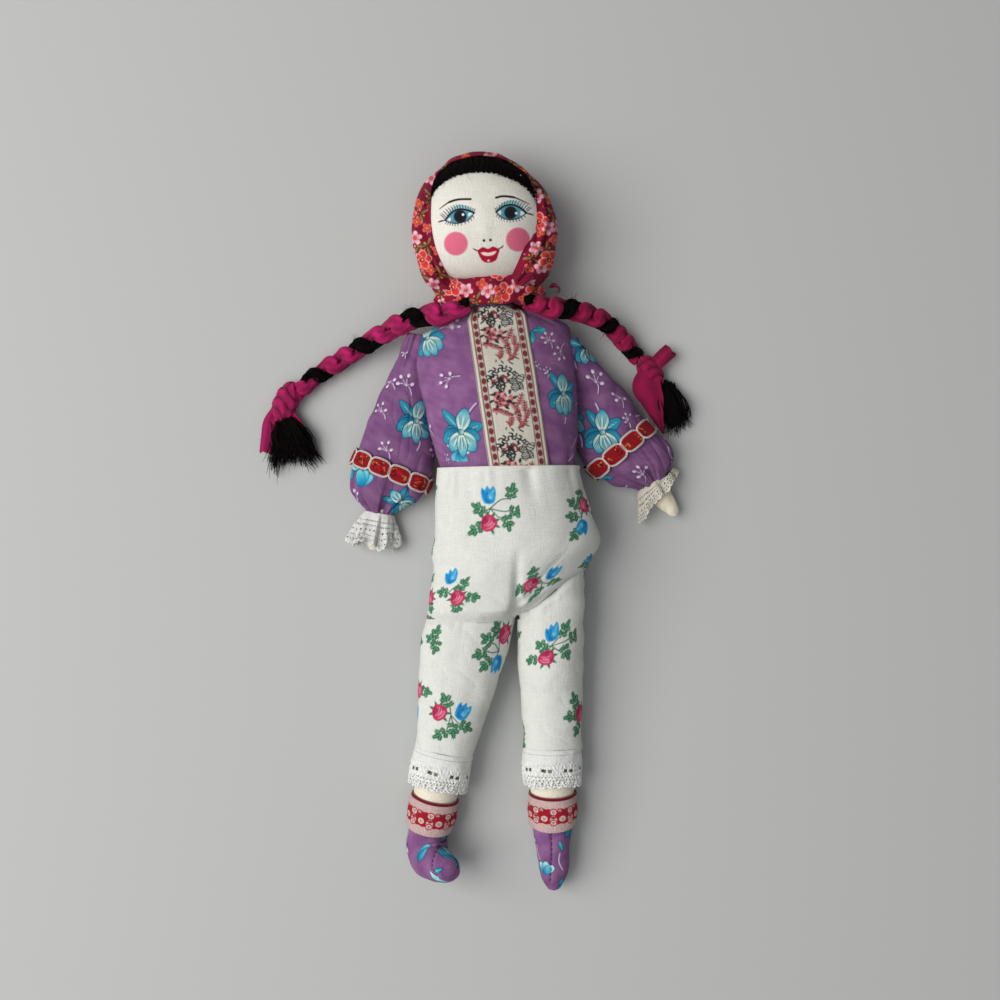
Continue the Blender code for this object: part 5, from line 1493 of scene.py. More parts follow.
def make_trim(side):
    """The woven trim round a sleeve: red squares framed by two pale cords."""
    rows = even(sleeve_rows(side), 300, [0])
    order = np.argsort(rows[:, 0])
    middle, slope = -TRIM[side][0], TRIM[side][1]
    count, wide = 520, 44
    turn = np.linspace(-math.pi / 2, 1.5 * math.pi, count, endpoint=False)
    read = [np.interp(middle, rows[order, 0], rows[order, k]) for k in (1, 2)]
    speed = np.hypot(read[0] * np.sin(turn), read[1] * np.cos(turn))
    s = np.concatenate([[0], np.cumsum((speed[1:] + speed[:-1]) / 2 * TAU / count)])
    around = s[-1] + speed[-1] * TAU / count
    units = round(around / 9.0)
    step = around / units
    at = int(np.argmin(abs(turn - math.pi / 2)))
    share = (s - s[at]) / step % 1.0 - 0.5
    # Half width of the strip: a rounded square at each unit, pinched between
    least, most = 1.25, 3.75
    lobe = np.clip(1 - (abs(share) / 0.49) ** 3.4, 0, 1) ** 0.45
    half = least + (most - least) * lobe
    across = np.linspace(-1, 1, wide)[:, None]
    y0 = middle + across * half[None, :]
    y = y0.copy()
    for _ in range(3):
        w, d, x0, z0 = (np.interp(y, rows[order, 0], rows[order, k]) for k in (1, 2, 3, 4))
        x = x0 + (w + 0.85) * np.cos(turn)[None, :]
        y = y0 + slope * (x - x0)
    # Two thin cords run along each edge and meet between the squares
    rim = np.minimum(half[None, :] * (1 - abs(across)), (0.5 - abs(share)[None, :]) * step * 1.3 + 0.1)
    cords = np.maximum(np.exp(-((rim - 0.18) / 0.15) ** 2), np.exp(-((rim - 0.56) / 0.11) ** 2))
    inside = rim > 0.70
    bulge = 0.35 * np.sqrt(np.clip(1 - across**2, 0, 1)) * lobe[None, :]
    bulge = bulge + np.where(inside, 0.05, 0.26 * cords)
    grid = np.stack([x, y, z0 + (d + 0.80) * np.sin(turn)[None, :]], axis=-1)
    grid[..., 2] += bulge * np.sin(turn)[None, :]
    grid[..., 0] += bulge * np.cos(turn)[None, :]
    grid = rest(turned(grid, SHOULDER[side], ARM_ANGLE[side]))
    S = (s[at] - s)[None, :] + np.zeros((wide, 1))
    T = across * half[None, :]
    p = Cloth(grid, rgb(206, 196, 178), (S, T))
    p.soft = 0.2
    r = np.random.default_rng(77)
    colour = p.colour.reshape(wide, count, 3)
    twist = 0.5 + 0.5 * np.sin((s[None, :] + T * 0.8) / 0.55 * TAU)
    tone = np.clip(cords * 1.25, 0, 1)[..., None]
    colour[:] = rgb(96, 34, 40) + (rgb(236, 232, 224) * (1 - 0.14 * twist)[..., None]
                                   - rgb(96, 34, 40)) * tone
    colour[inside] = rgb(138, 14, 24)
    p.found = np.flatnonzero(inside.ravel())
    p.size = 1.0
    p.u, p.v = p.x[p.found], p.y[p.found]
    for k in range(int(units)):
        x = around / 2 - (k + 0.5) * step
        for many, width, colour in ((5, 0.24, rgb(206, 148, 70)), (6, 0.34, rgb(74, 6, 12)),
                                    (5, 0.34, rgb(190, 30, 36))):
            for _ in range(many):
                a, b = r.uniform(-2.7, 2.7), r.uniform(-2.0, 2.0)
                points = [(x + a, b), (x + a + r.uniform(-0.9, 0.9), b + r.uniform(-0.8, 0.8)),
                          (x + a + r.uniform(-1.1, 1.1), b + r.uniform(-1.1, 1.1))]
                p.line(points, width, colour)
    made = piece(f"{side}_sleeve_trim_weave", grid, p.result(), trim_cloth, f"{side}_arm",
                 [f"{side}_sleeve_trim"], uv=(S, T), thickness=0.6)
    return made, grid


def make_cuff(side):
    """The lace frill at a wrist, waved along its edge and pierced in rows."""
    data = CUFF[side]
    length = data["length"]
    rows = []
    for along, width, depth in data["rows"]:
        half = depth * 5.75
        rows.append((-SLEEVE_LENGTH[side] + 0.4 - along * (length + 0.2), width * 10, half,
                     GATHER[side] + along * data["bend"], resting(half) - ARM_Z, 0))
    grid, angles = loft(rows, 60, 640, back=1.0, lengths=[0])
    n = outward(grid)
    along = rows_share(grid)
    bent = angles + 0.10 * np.sin(angles * 3 + 1) + 0.08 * np.sin(angles * 5)
    ruffle = np.sin(bent * 9)[None, :] + 0.35 * np.sin(bent * 17 + 1.0)[None, :]
    swell(grid, n, data["ruffle"] * ruffle * along**0.8)
    swell(grid, n, data["crumple"] * waves(grid, 6, 58, 2) * along)
    sway = 1.3 * np.sin(bent * 4 + 0.5) + 0.5 * np.sin(bent * 9 + 1.5)
    grid[..., 1] += sway[None, :] * along**2 * data["sway"]
    scallop = 1 - abs(np.sin(angles * 15))[None, :] ** 0.6
    grid[..., 1] += 1.1 * along**4 * scallop
    if side == "left":
        # This frill sits askew on the wrist
        grid[..., 1] += 0.50 * (grid[..., 0] - GATHER[side]) * np.clip(along * 2.2, 0.25, 1)
        grid[..., 1] += 1.3
    down = along * length
    keep = np.ones(grid.shape[:2], bool)
    pitch = 2.1
    for k, (row, r, many) in enumerate(((0.24, 0.34, 60), (0.38, 0.36, 60), (0.54, 0.50, 30),
                                        (0.70, 0.38, 60), (0.84, 0.34, 60))):
        r *= data["hole"]
        c = (angles[None, :] * many / TAU + 0.5 * (k % 2)) % 1.0 - 0.5
        keep &= ~(np.hypot(c * pitch * 30 / many * (0.7 + 0.4 * along), down - row * length) < r)
    rim = np.exp(-((down - 0.965 * length) / 0.4) ** 2) + 0.5 * np.exp(-((down - 0.46 * length) / 0.3) ** 2)
    swell(grid, n, 0.22 * rim)
    place = rest(turned(grid, SHOULDER[side], ARM_ANGLE[side]))
    # The paint is lighter on the raised rims and darker in the ruffle's inward folds: painted highlight and
    # painted shade.
    paint = data["colour"] * (0.94 + 0.06 * rim - 0.10 * np.clip(-ruffle, 0, 1) * along)[..., None]
    made = piece(f"{side}_cuff_net", place, paint + np.zeros((*place.shape[:2], 3)), lace_cloth, None,
                 [f"{side}_lace_cuff"], keep=keep, thickness=0.4)
    down = turned([0, -1, 0], (0, 0, 0), ARM_ANGLE[side])
    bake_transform(made)
    return made, place


# Length, half width and half depth of a hand, and half width of the wrist
HAND, WRIST_SIZE = (17, 4.3, 3.0), 3.0


def dome(radius, angles):
    """Rows of a round end, at angles from its rim."""
    return [(radius * math.sin(a), radius * math.cos(a), radius * math.cos(a), 0, 0, 0)
            for a in (math.radians(angle) for angle in angles)]


def make_hand(side):
    """A stuffed hand that begins with a round end inside the sleeve."""
    drop = 5.25 - WRIST[side][2]
    rows = dome(WRIST_SIZE, (80, 50, 20))
    for along, w, d in ((0.16, 0.96, 0.98), (0.42, 1.04, 1), (0.75, 0.94, 0.92), (0.98, 0.62, 0.62),
                        (1.1, 0.30, 0.26)):
        rows.append((-along * HAND[0], w * HAND[1], d * HAND[2], along * HAND_BEND[side],
                     drop * min(along * 2, 1), -0.12 * SIGN[side] * max(along - 0.4, 0)))
    grid, _ = loft(rows, 80, 90, lengths=[0])
    n = outward(grid)
    swell(grid, n, 0.25 * waves(grid, 6, 66, 2))
    grid = rest(turned(grid, WRIST[side], ARM_ANGLE[side]))
    paint = plain(grid, 232, 224, 200)
    made = piece(f"{side}_hand_calico", grid, paint, calico, f"{side}_hand", [f"{side}_hand"],
                 closed=True)


ARM_SIZE = 5


def make_arm(side):
    """The stuffed arm inside the sleeve, ending short of the hand."""
    rows = np.array(sleeve_rows(side))
    order = np.argsort(rows[:, 0])
    reach = SLEEVE_LENGTH[side] - WRIST_SIZE - WRIST_SIZE - 0.3
    new = []
    for along, radius in ((-0.064, 0.30), (-0.05, 0.66), (-0.02, 0.92), (0.05, 1), (0.45, 1), (0.78, 0.84)):
        y = -along * reach / 0.78 if along > 0 else -along * SLEEVE_LENGTH[side]
        x, z = (np.interp(y, rows[order, 0], rows[order, k]) for k in (3, 4))
        new.append((y, radius * ARM_SIZE, radius * ARM_SIZE, x if along > 0 else 0, z, 0))
    grid, _ = loft(new, 60, 60, lengths=[0])
    grid = turned(grid, SHOULDER[side], ARM_ANGLE[side])
    paint = plain(grid, 226, 217, 190)
    made = piece(f"{side}_arm_calico", grid, paint, calico, f"{side}_arm", [f"{side}_arm"],
                 closed=True)


for side in SIDES:
    made, grid = make_sleeve(side)
    make_trim(side)
    made, grid = make_cuff(side)
    # The left frill is under 10 mm long
    make_hand(side)
    make_arm(side)


# Head, hair and headscarf

# Middles of the head, of the hood round it and of the face, and the head's half sizes
HEAD = np.array([-5.89, 72.72, 23.25])
HOOD = HEAD - [0, 0, 2.0]
FACE_MIDDLE = HEAD[:2] - [0, 3.4]
HEAD_SIZE = (27.0, 25.5, 19.75)


def polar(rings, count, centre, radii):
    """Points on an ellipsoid at angles from its front pole."""
    turn = np.arange(count) / count * TAU
    a = np.asarray(rings)[:, None]
    return np.stack([centre[0] + radii[0] * np.sin(a) * np.cos(turn)[None, :],
                     centre[1] + radii[1] * np.sin(a) * np.sin(turn)[None, :],
                     centre[2] + radii[2] * np.cos(a) + 0 * turn[None, :]], axis=-1)


def jaw(x, y):
    """How much fuller the head is at the jaw than an oval."""
    around = np.arctan2(y - HEAD[1], x - HEAD[0])
    return 1 + 0.075 * np.sin(2 * around) ** 2 * (np.sin(around) < 0)


def make_head():
    """The stuffed head, its face painted square to the view."""
    cap = np.concatenate([[0.004], np.linspace(0.012, 1.36, 140), np.linspace(1.4, 3.0, 22)])
    count = 640
    grid = polar(cap, count, HEAD, HEAD_SIZE)
    grid[..., :2] = HEAD[:2] + (grid[..., :2] - HEAD[:2]) * jaw(grid[..., 0], grid[..., 1])[..., None]
    x, y = grid[..., 0] - FACE_MIDDLE[0], grid[..., 1] - FACE_MIDDLE[1]
    front = np.clip((grid[..., 2] - 27) / 8, 0, 1)
    # Nose, cheeks, chin and eye hollows, all faint, as padding gives them
    lift = 0.9 * np.exp(-((x - 0.6) ** 2 + (y + 4.5) ** 2) / 12.0)
    lift += 0.5 * np.exp(-((abs(x) - 11.5) ** 2 + (y + 6.5) ** 2) / 40.0)
    lift -= 0.5 * np.exp(-(((abs(x) - 10.5) / 7) ** 2 + ((y - 4.0) / 3.5) ** 2))
    lift += 0.9 * np.exp(-((x**2 + (y + 17.0) ** 2) / 60.0))
    grid[..., 2] += lift * front
    n = outward(grid)
    swell(grid, n, 0.16 * waves(grid, 18, 91, 2) * np.clip((cap[:, None] - 0.02) / 0.2, 0, 1))
    seen = pixels(grid)
    p = Paint(seen[..., 0], seen[..., 1], rgb(228, 224, 214))
    p.soft = 0.9
    draw_face(p)
    turn = np.arange(count) / count * TAU
    s, t = (cap[:, None] * 22 * part(turn)[None, :] for part in (np.cos, np.sin))
    made = piece("head_cloth", grid, p.result(), calico, "head", ["head"], closed=True, uv=(s, t))


def draw_face(p):
    """The painted face, in pixels of the photograph: cheeks, eyes with lashes, brows, nostrils and mouth."""
    x0, y0 = 480, 220

    def plot(points, width, colour, taper=True):
        p.at(x0, y0, reach=200)
        p.line([(x - x0, y - y0) for x, y in points], width, colour, taper=taper)

    def fill(points, colour, **more):
        p.at(x0, y0, reach=200)
        p.area([(x - x0, y - y0) for x, y in points], colour, **more)

    def disc(x, y, r, colour, b=None, turn=0.0):
        p.at(x, y, reach=4 * r + 6)
        p.oval(0, 0, r, b or r, turn, colour)

    p.soft = 1.8
    disc(455.9, 243.6, 11.8, rgb(220, 106, 134))
    disc(518.0, 239.6, 11.9, rgb(220, 106, 134))
    p.soft = 0.8
    dark, teal, white = rgb(24, 20, 26), rgb(84, 148, 160), rgb(240, 240, 238)
    # Viewer's left eye, then the right one: lid from outside to inside, then back along the lower edge
    for way, lid, low, pupil, r, shine, corners in (
        (-1, [(445.5, 220.2), (450.5, 213.6), (458, 209.4), (467, 210.0), (474, 213)],
         [(474, 213), (468.5, 220), (458, 223.2), (450.5, 222.6), (445.5, 220.2)], (460.2, 216.4), 6.4,
         (463, 214.6),
         ([(446.8, 220), (450.4, 217.4), (450.4, 221.2)], [(473, 213.4), (468.8, 212.6), (468.2, 216.6)])),
        (1, [(526.2, 213.2), (520.2, 207.8), (512, 204.8), (503, 206.6), (496.2, 212.2)],
         [(496.2, 212.2), (501.5, 217.4), (510, 219.6), (519, 218), (526.2, 213.2)], (510.6, 212.6), 6.3,
         (516.2, 213.2),
         ([(525.0, 213.2), (521.0, 210.8), (520.4, 215.8)],
          [(497.4, 212.2), (500.8, 210.2), (501.0, 214.8)])),
    ):
        shade = [(x, y - 4.4 * math.sin(0.35 + 2.4 * k / 4)) for k, (x, y) in enumerate(lid)]
        fill([*lid, *shade[::-1]], rgb(138, 190, 200))
        fill([*lid, *low[1:-1]], teal)
        for corner in corners:
            fill(corner, rgb(220, 229, 228))
        disc(*pupil, r, rgb(26, 30, 44))
        disc(*pupil, r * 0.62, dark)
        disc(*shine, 1.35, white)
        plot(lid, 1.7, dark, taper=False)
        plot(low, 0.9, dark)
        plot([lid[0], (lid[0][0] + way * 4, lid[0][1] + 0.8), (lid[0][0] + way * 7.5, lid[0][1] + 2.0)], 1.3,
             dark)
        for k in range(15):
            share = k / 14
            upper = curve(np.array(lid), [share * 4])[0]
            lean = way * (1.0 - 1.25 * share)
            plot([tuple(upper), (upper[0] + lean * 2.6, upper[1] - 3.4),
                  (upper[0] + lean * 5.6, upper[1] - 5.7 * (1 - 0.3 * share))], 0.65, dark)
        for k in range(11):
            lower = curve(np.array(low), [0.4 + k / 10 * 3.2])[0]
            lean = way * (-0.9 + 1.9 * k / 10)
            plot([tuple(lower), (lower[0] + lean * 1.6, lower[1] + 2.8)], 0.65, dark)
    brow = rgb(34, 24, 22)
    for points in ([(439, 209.4), (449, 202.2), (458, 199.5), (470.7, 199.1)],
                   [(530, 204.5), (514, 197.3), (503, 196.2), (496, 197.7)]):
        plot(points, 1.4, brow)
        plot(points[1:], 1.9, brow, taper=False)
    for x, y in ((484.0, 240.5), (490.5, 240.0)):
        disc(x, y, 1.3, rgb(48, 26, 26))
    red, corner = rgb(172, 14, 46), rgb(74, 22, 34)
    plot([(473.0, 248.4), (475.6, 250.0), (478.8, 251.0)], 1.2, corner)
    plot([(503.4, 245.2), (501.4, 247.4), (498.0, 249.2)], 1.2, corner)
    fill([(477.6, 250.8), (480.2, 248.6), (483.2, 247.2), (488.2, 248.8), (492.6, 246.6), (496.0, 247.6),
          (499.4, 249.4), (498.2, 254.4), (496.3, 259.6), (492.5, 262.0), (488.5, 262.6), (485, 262.2),
          (481.6, 259.8), (479.0, 255)], red)
    fill([(481.0, 252.7), (484.5, 252.2), (488, 252.8), (492.5, 251.8), (496.2, 251.2), (494.6, 254.0),
          (491.6, 255.4),
          (488.2, 255.9), (485, 255.6), (482.6, 254.6)], rgb(246, 220, 218), rim=rgb(196, 60, 84),
         rim_width=0.4)
    disc(488.5, 260.6, 1.5, rgb(238, 204, 206), 1.1)


make_head()


# Outline of the scarf and the edge of its opening, in photograph pixels
SCARF_OUTSIDE = [(450, 158), (433, 172), (421, 187), (414, 204), (410, 228), (412, 249), (419, 270),
                 (430, 288), (455, 296), (490, 298), (523, 294), (546, 281), (554, 263), (558, 235),
                 (557.5, 217), (546, 190), (526, 168), (505, 156), (485, 151), (467, 152.5)]
SCARF_INSIDE = [(436.4, 172.4), (431, 186), (429.6, 200), (430, 220), (433, 240), (440, 260), (452.7, 280.5),
                (466, 286.5), (488, 288), (503, 284), (512, 274), (524.7, 248), (532.5, 238), (537, 226),
                (537.5, 210), (535.5, 194), (528, 174), (521, 167), (510, 160), (496, 154.6), (481.5, 153.7),
                (467, 155.3), (454.5, 159), (449, 161.6)]
HAIR_INSIDE = [(432, 196), (437, 188), (449, 178.7), (467, 173.2), (485, 172.2), (503, 175.6), (521, 184.5),
               (531, 193.5), (541, 212), (542, 238), (530, 262), (514, 282), (489, 294), (462, 292),
               (445, 282), (434, 262), (426, 236), (426, 212)][::-1]


def ring_radius(points, centre, z, turn):
    """Distance from centre to a closed outline given in pixels, at each angle."""
    fine = closed_curve(np.array(points), 12)
    world = np.array([spot(x, y, z)[:2] for x, y in fine]) - centre[:2]
    angle = np.arctan2(world[:, 1], world[:, 0])
    far = np.linalg.norm(world, axis=1)
    order = np.argsort(angle)
    return np.interp(turn, angle[order], far[order], period=TAU)


def head_top(x, y):
    """Height of the face's cloth at a place."""
    far = (((x - HEAD[0]) / HEAD_SIZE[0]) ** 2 + ((y - HEAD[1]) / HEAD_SIZE[1]) ** 2) / jaw(x, y) ** 2
    return HEAD[2] + (HEAD_SIZE[2] + 0.15) * np.sqrt(np.clip(1 - far, 0, 1))


def opening(points, turn, lift):
    """Edge of a hole over the face, given in pixels: its distance from the hood's middle and its height."""
    fine = closed_curve(np.array(points), 12)
    z = np.full(len(fine), 36.0)
    for _ in range(16):
        x = CAMERA[0] + (fine[:, 0] - MIDDLE) * (CAMERA[2] - z) / FOCAL
        y = CAMERA[1] + (MIDDLE - fine[:, 1]) * (CAMERA[2] - z) / FOCAL
        z = (z + head_top(x, y) + lift) / 2
    angle = np.arctan2(y - HOOD[1], x - HOOD[0])
    order = np.argsort(angle)
    far = np.hypot(x - HOOD[0], y - HOOD[1])
    return (np.interp(turn, angle[order], far[order], period=TAU),
            np.interp(turn, angle[order], z[order], period=TAU))


def make_hair():
    """A wool cap from the edge of the face back to the nape, with loose fibres along its edge."""
    rows, cols = 70, 420
    turn = np.arange(cols) / cols * TAU - math.pi
    radii = np.array([29.9, 28.8, 20.8])
    inner, _ = opening(HAIR_INSIDE, turn, 0.6)
    inner = inner + 0.22 * np.sin(turn * 47) + 0.2 * np.sin(turn * 83 + 1)
    outer = 1 / np.sqrt((np.cos(turn) / radii[0]) ** 2 + (np.sin(turn) / radii[1]) ** 2)
    outer = np.minimum(outer, ring_radius(SCARF_OUTSIDE, HOOD, HOOD[2] + 2, turn) * 0.955)
    a0 = np.arcsin(np.clip(inner / outer, 0, 0.985))
    f = np.linspace(0, 1, rows)[:, None] ** 1.3
    a = a0[None, :] + (2.75 - a0[None, :]) * f
    grid = np.stack([HOOD[0] + outer * np.sin(a) * np.cos(turn)[None, :],
                     HOOD[1] + outer * np.sin(a) * np.sin(turn), HOOD[2] + radii[2] * np.cos(a)], axis=-1)
    # Above the brow it lies on the head, below the cheeks it stays under the scarf
    face = head_top(grid[..., 0], grid[..., 1])
    low = np.clip((0.35 - np.sin(turn)) / 0.4, 0, 1)[None, :]
    front = a < math.pi / 2
    above = np.maximum(grid[..., 2] - 1.2 * np.exp(-(f / 0.03) ** 2), face + 0.55)
    under = np.minimum(grid[..., 2], face + 0.25)
    grid[..., 2] = np.where(front, above + (under - above) * low, grid[..., 2])
    n = outward(grid, HOOD)
    strand = np.sin(turn[None, :] * 60 + 3.5 * waves(grid, 9, 97, 2))
    swell(grid, n, 0.20 * strand + 0.25 * waves(grid, 4, 98, 2))
    # The paint is lighter along the raised strands and darker between them: painted shade that follows the
    # relief.
    dark, light = rgb(7, 5, 5), rgb(26, 18, 16)
    paint = dark + (light - dark) * (0.25 + 0.25 * strand[..., None])
    piece("hair_cap", grid, paint, wool, "head", ["hair"])
    lines, tints = [], []
    r = np.random.default_rng(5)
    for _ in range(1100):
        j = r.integers(cols)
        if math.sin(turn[j]) < 0.1:
            continue
        i = r.integers(0, 14)
        start = grid[i, j] + n[i, j] * 0.1
        side = np.array([-math.sin(turn[j]), math.cos(turn[j]), 0])
        out = np.array([math.cos(turn[j]), math.sin(turn[j]), 0])
        way = side * r.normal(0, 1.0) + n[i, j] * r.uniform(0.02, 0.25) + out * r.normal(0.0, 0.3)
        way /= np.linalg.norm(way)
        bend = r.normal(0, 0.5, 3)
        length = r.uniform(1.5, 4.5)
        steps = np.linspace(0, 1, 6)[:, None]
        lines.append(start + way * length * steps + bend * steps**2 * length * 0.25)
        tints.append(rgb(15, 10, 9) * r.uniform(0.5, 1.7))
    tubes("hair_fibres", lines, 0.055, wool, "head", tints, sides=3)


make_hair()


def make_scarf():
    """The headscarf's hood, its opening rolled in round the face."""
    rows, cols = 200, 520
    turn = np.arange(cols) / cols * TAU - math.pi
    outer = ring_radius(SCARF_OUTSIDE, HOOD, HOOD[2] + 2, turn)
    # The opening as it shows at each height
    levels = np.array([ring_radius(SCARF_INSIDE, HOOD, HOOD[2] + 2.7 * k, turn) for k in range(9)])
    inner = levels[4]
    for _ in range(14):
        at = np.clip(8 * np.sqrt(np.clip(1 - (inner / outer) ** 2, 0, 1)), 0, 7.999)
        k = at.astype(int)
        seen_at = levels[k, np.arange(cols)] * (1 - at + k) + levels[k + 1, np.arange(cols)] * (at - k)
        inner = np.minimum((inner + seen_at) / 2, outer * 0.978)
    low = np.clip((0.30 - np.sin(turn)) / 0.4, 0, 1)
    near, edge_z = opening(SCARF_INSIDE, turn, 0.9)
    inner += (np.minimum(near, outer * 0.97) - inner) * low
    start = np.arcsin(inner / outer)
    f = np.linspace(0, 1, rows)[:, None]
    a = start[None, :] + (2.72 - start[None, :]) * f**1.05
    grid = np.stack([HOOD[0] + outer * np.sin(a) * np.cos(turn)[None, :],
                     HOOD[1] + outer * np.sin(a) * np.sin(turn)[None, :], HOOD[2] + 21.6 * np.cos(a)],
                    axis=-1)
    grid[..., 2] += (edge_z - grid[0, :, 2]) * low * np.exp(-(f / 0.10) ** 2)
    seen = pixels(grid)
    rise = np.zeros((rows, cols))
    front = np.clip((math.pi / 2 - 0.12 - a) / 0.3, 0, 1)
    for points, width, height in (
        ([(411, 212), (423, 240), (438, 264), (454, 284)], 3.4, 1.2),
        ([(424, 214), (432, 240), (443, 262), (456, 281)], 2.4, 0.8),
        ([(411, 238), (420, 262), (434, 284)], 3.2, 1.2),
        ([(413, 222), (425, 250), (441, 276)], 1.3, -1.8),
        ([(411, 246), (421, 268), (432, 284)], 1.2, -1.2),
        ([(541, 196), (545, 216), (541, 240), (529, 262), (517, 279)], 2.8, 1.6),
        ([(549, 200), (553, 224), (549, 248), (537, 270), (524, 284)], 3.0, 1.3),
        ([(545, 204), (549, 224), (545, 246), (533, 266), (520, 281)], 1.4, -1.3),
        ([(535, 236), (527, 257), (516, 272)], 2.0, 0.9),
    ):
        best = near_line(seen, curve(np.array(points, float), np.linspace(0, len(points) - 1, 24)))
        rise += height * np.exp(-((best / width) ** 2)) * front * np.clip(f / 0.05, 0.2, 1)
    n = outward(grid, HOOD)
    edge = np.exp(-(f / 0.03) ** 2)
    low = np.clip((0.4 - np.sin(turn)) / 0.6, 0, 1)[None, :]
    grid += n * (rise - 0.5 + 0.4 * waves(grid, 13, 104, 2) * (1 - 0.6 * edge)
                 - 0.25 * wrinkles(grid, 14, 106) * low)[..., None]
    grid = rest(grid)
    p = Cloth(grid, DEEP)
    shaded(p, DEEP, WINE, 12, 6)
    p.soft = 0.26
    for k, (x, y, kind) in enumerate((
        (419, 246, 2), (427, 246, 2), (441, 274, 2), (420, 214, 2), (546, 250, 2), (553, 214, 2),
        (532, 258, 2), (431, 196, 2), (444, 168, 2), (512, 163, 2), (544, 190, 2), (421, 276, 2),
        (549, 268, 2), (530, 180, 2), (422, 260, 0), (415, 238, 1), (431, 178, 1), (417, 222, 3),
        (427, 228, 3), (431, 270, 3), (446, 262, 1), (539, 222, 0), (540, 232, 3), (537.5, 196, 1),
        (549, 228, 1), (541, 267, 1), (549, 260, 0), (529, 268, 3), (419, 204, 3), (465, 155, 3),
        (490, 153, 1), (524, 170, 3), (551, 200, 3), (554, 240, 3), (536, 248, 1), (433, 285, 1),
        (437, 250, 3),
    )):
        p.view(x, y, 0.9 * k, 1.0 if kind < 3 else 0.9)
        scarf_motif(p, kind)
    for k, (x, y, angle, m) in enumerate(p.free(5.6, 13, 1600, 0.3)):
        p.at(x, y, angle, 0.40)
        scarf_motif(p, (k * 2 + m) % 4)
    scatter(p, 420, 15)
    lip = []
    for depth, inward in ((0.9, 0.9), (0.5, 0.4), (0.12, 0.10)):
        ring = grid[0] - n[0] * depth
        lip.append(ring + np.stack([np.cos(turn), np.sin(turn), 0 * turn], -1) * inward * 0.5)
    closed = np.concatenate([np.array(lip), grid])
    paint = np.pad(p.result(), ((3, 0), (0, 0), (0, 0)), "edge")
    made = piece("headscarf_cloth", closed, paint, scarf_cloth, "head", ["headscarf"])
    return made, grid


def scatter(p, count, seed):
    """Small specks of the scarf's print."""
    r = np.random.default_rng(seed)
    for k in range(count):
        m = r.integers(p.x.size)
        p.at(p.x[m], p.y[m], r.uniform(0, TAU), 0.4, reach=4)
        p.oval(0, 0, r.uniform(0.6, 1.3), r.uniform(0.4, 0.8), 0,
               (GOLD, ORANGE_RED, rgb(225, 190, 195), OLIVE, rgb(190, 30, 80))[k % 5])


def scarf_motif(p, kind):
    """Blossoms and leaves of the scarf: 0 red-orange, 1 pale pink, 2 leaves and gold, 3 small red."""
    pale, pinkish = rgb(236, 214, 210), rgb(206, 60, 112)
    if kind == 0:
        petals(p, 5, 5.0, 4.4, 3.6, (rgb(200, 30, 40), rgb(224, 66, 48)), rgb(232, 190, 190), 0.2,
               rim_width=0.8)
        p.oval(0, 0, 2.6, 2.6, 0, rgb(150, 16, 52), rgb(226, 150, 110), 0.6)
        p.oval(0.4, 0.3, 0.9, 0.9, 0, rgb(238, 190, 90))
    elif kind == 1:
        petals(p, 5, 3.8, 3.4, 2.4, (rgb(214, 120, 140), pale), pinkish, 0.6, rim_width=0.4)
        p.oval(0, 0, 1.8, 1.8, 0, rgb(180, 30, 60))
        p.oval(0, 0, 0.7, 0.7, 0, GOLD)
    elif kind == 2:
        for turn in (0.3, 2.3, 4.1):
            c, s = math.cos(turn), math.sin(turn)
            p.oval(c * 5.2, s * 5.2, 4.6, 1.6, turn, OLIVE, rgb(60, 14, 30), 0.4, tip=rgb(150, 114, 70),
                   point=0.5)
            p.line([(c * 1.4, s * 1.4), (c * 9, s * 9)], 0.5, rgb(176, 140, 84), smooth=False)
        for turn in (1.3, 3.2, 5.2):
            p.oval(math.cos(turn) * 4, math.sin(turn) * 4, 1.1, 0.9, 0, GOLD)
    else:
        petals(p, 4, 3.0, 2.6, 1.9, (rgb(200, 34, 40), rgb(226, 106, 66)), rgb(224, 150, 160), 0.2,
               rim_width=0.35)
        p.oval(0, 0, 1.2, 1.2, 0, GOLD)


scarf, scarf_grid = make_scarf()


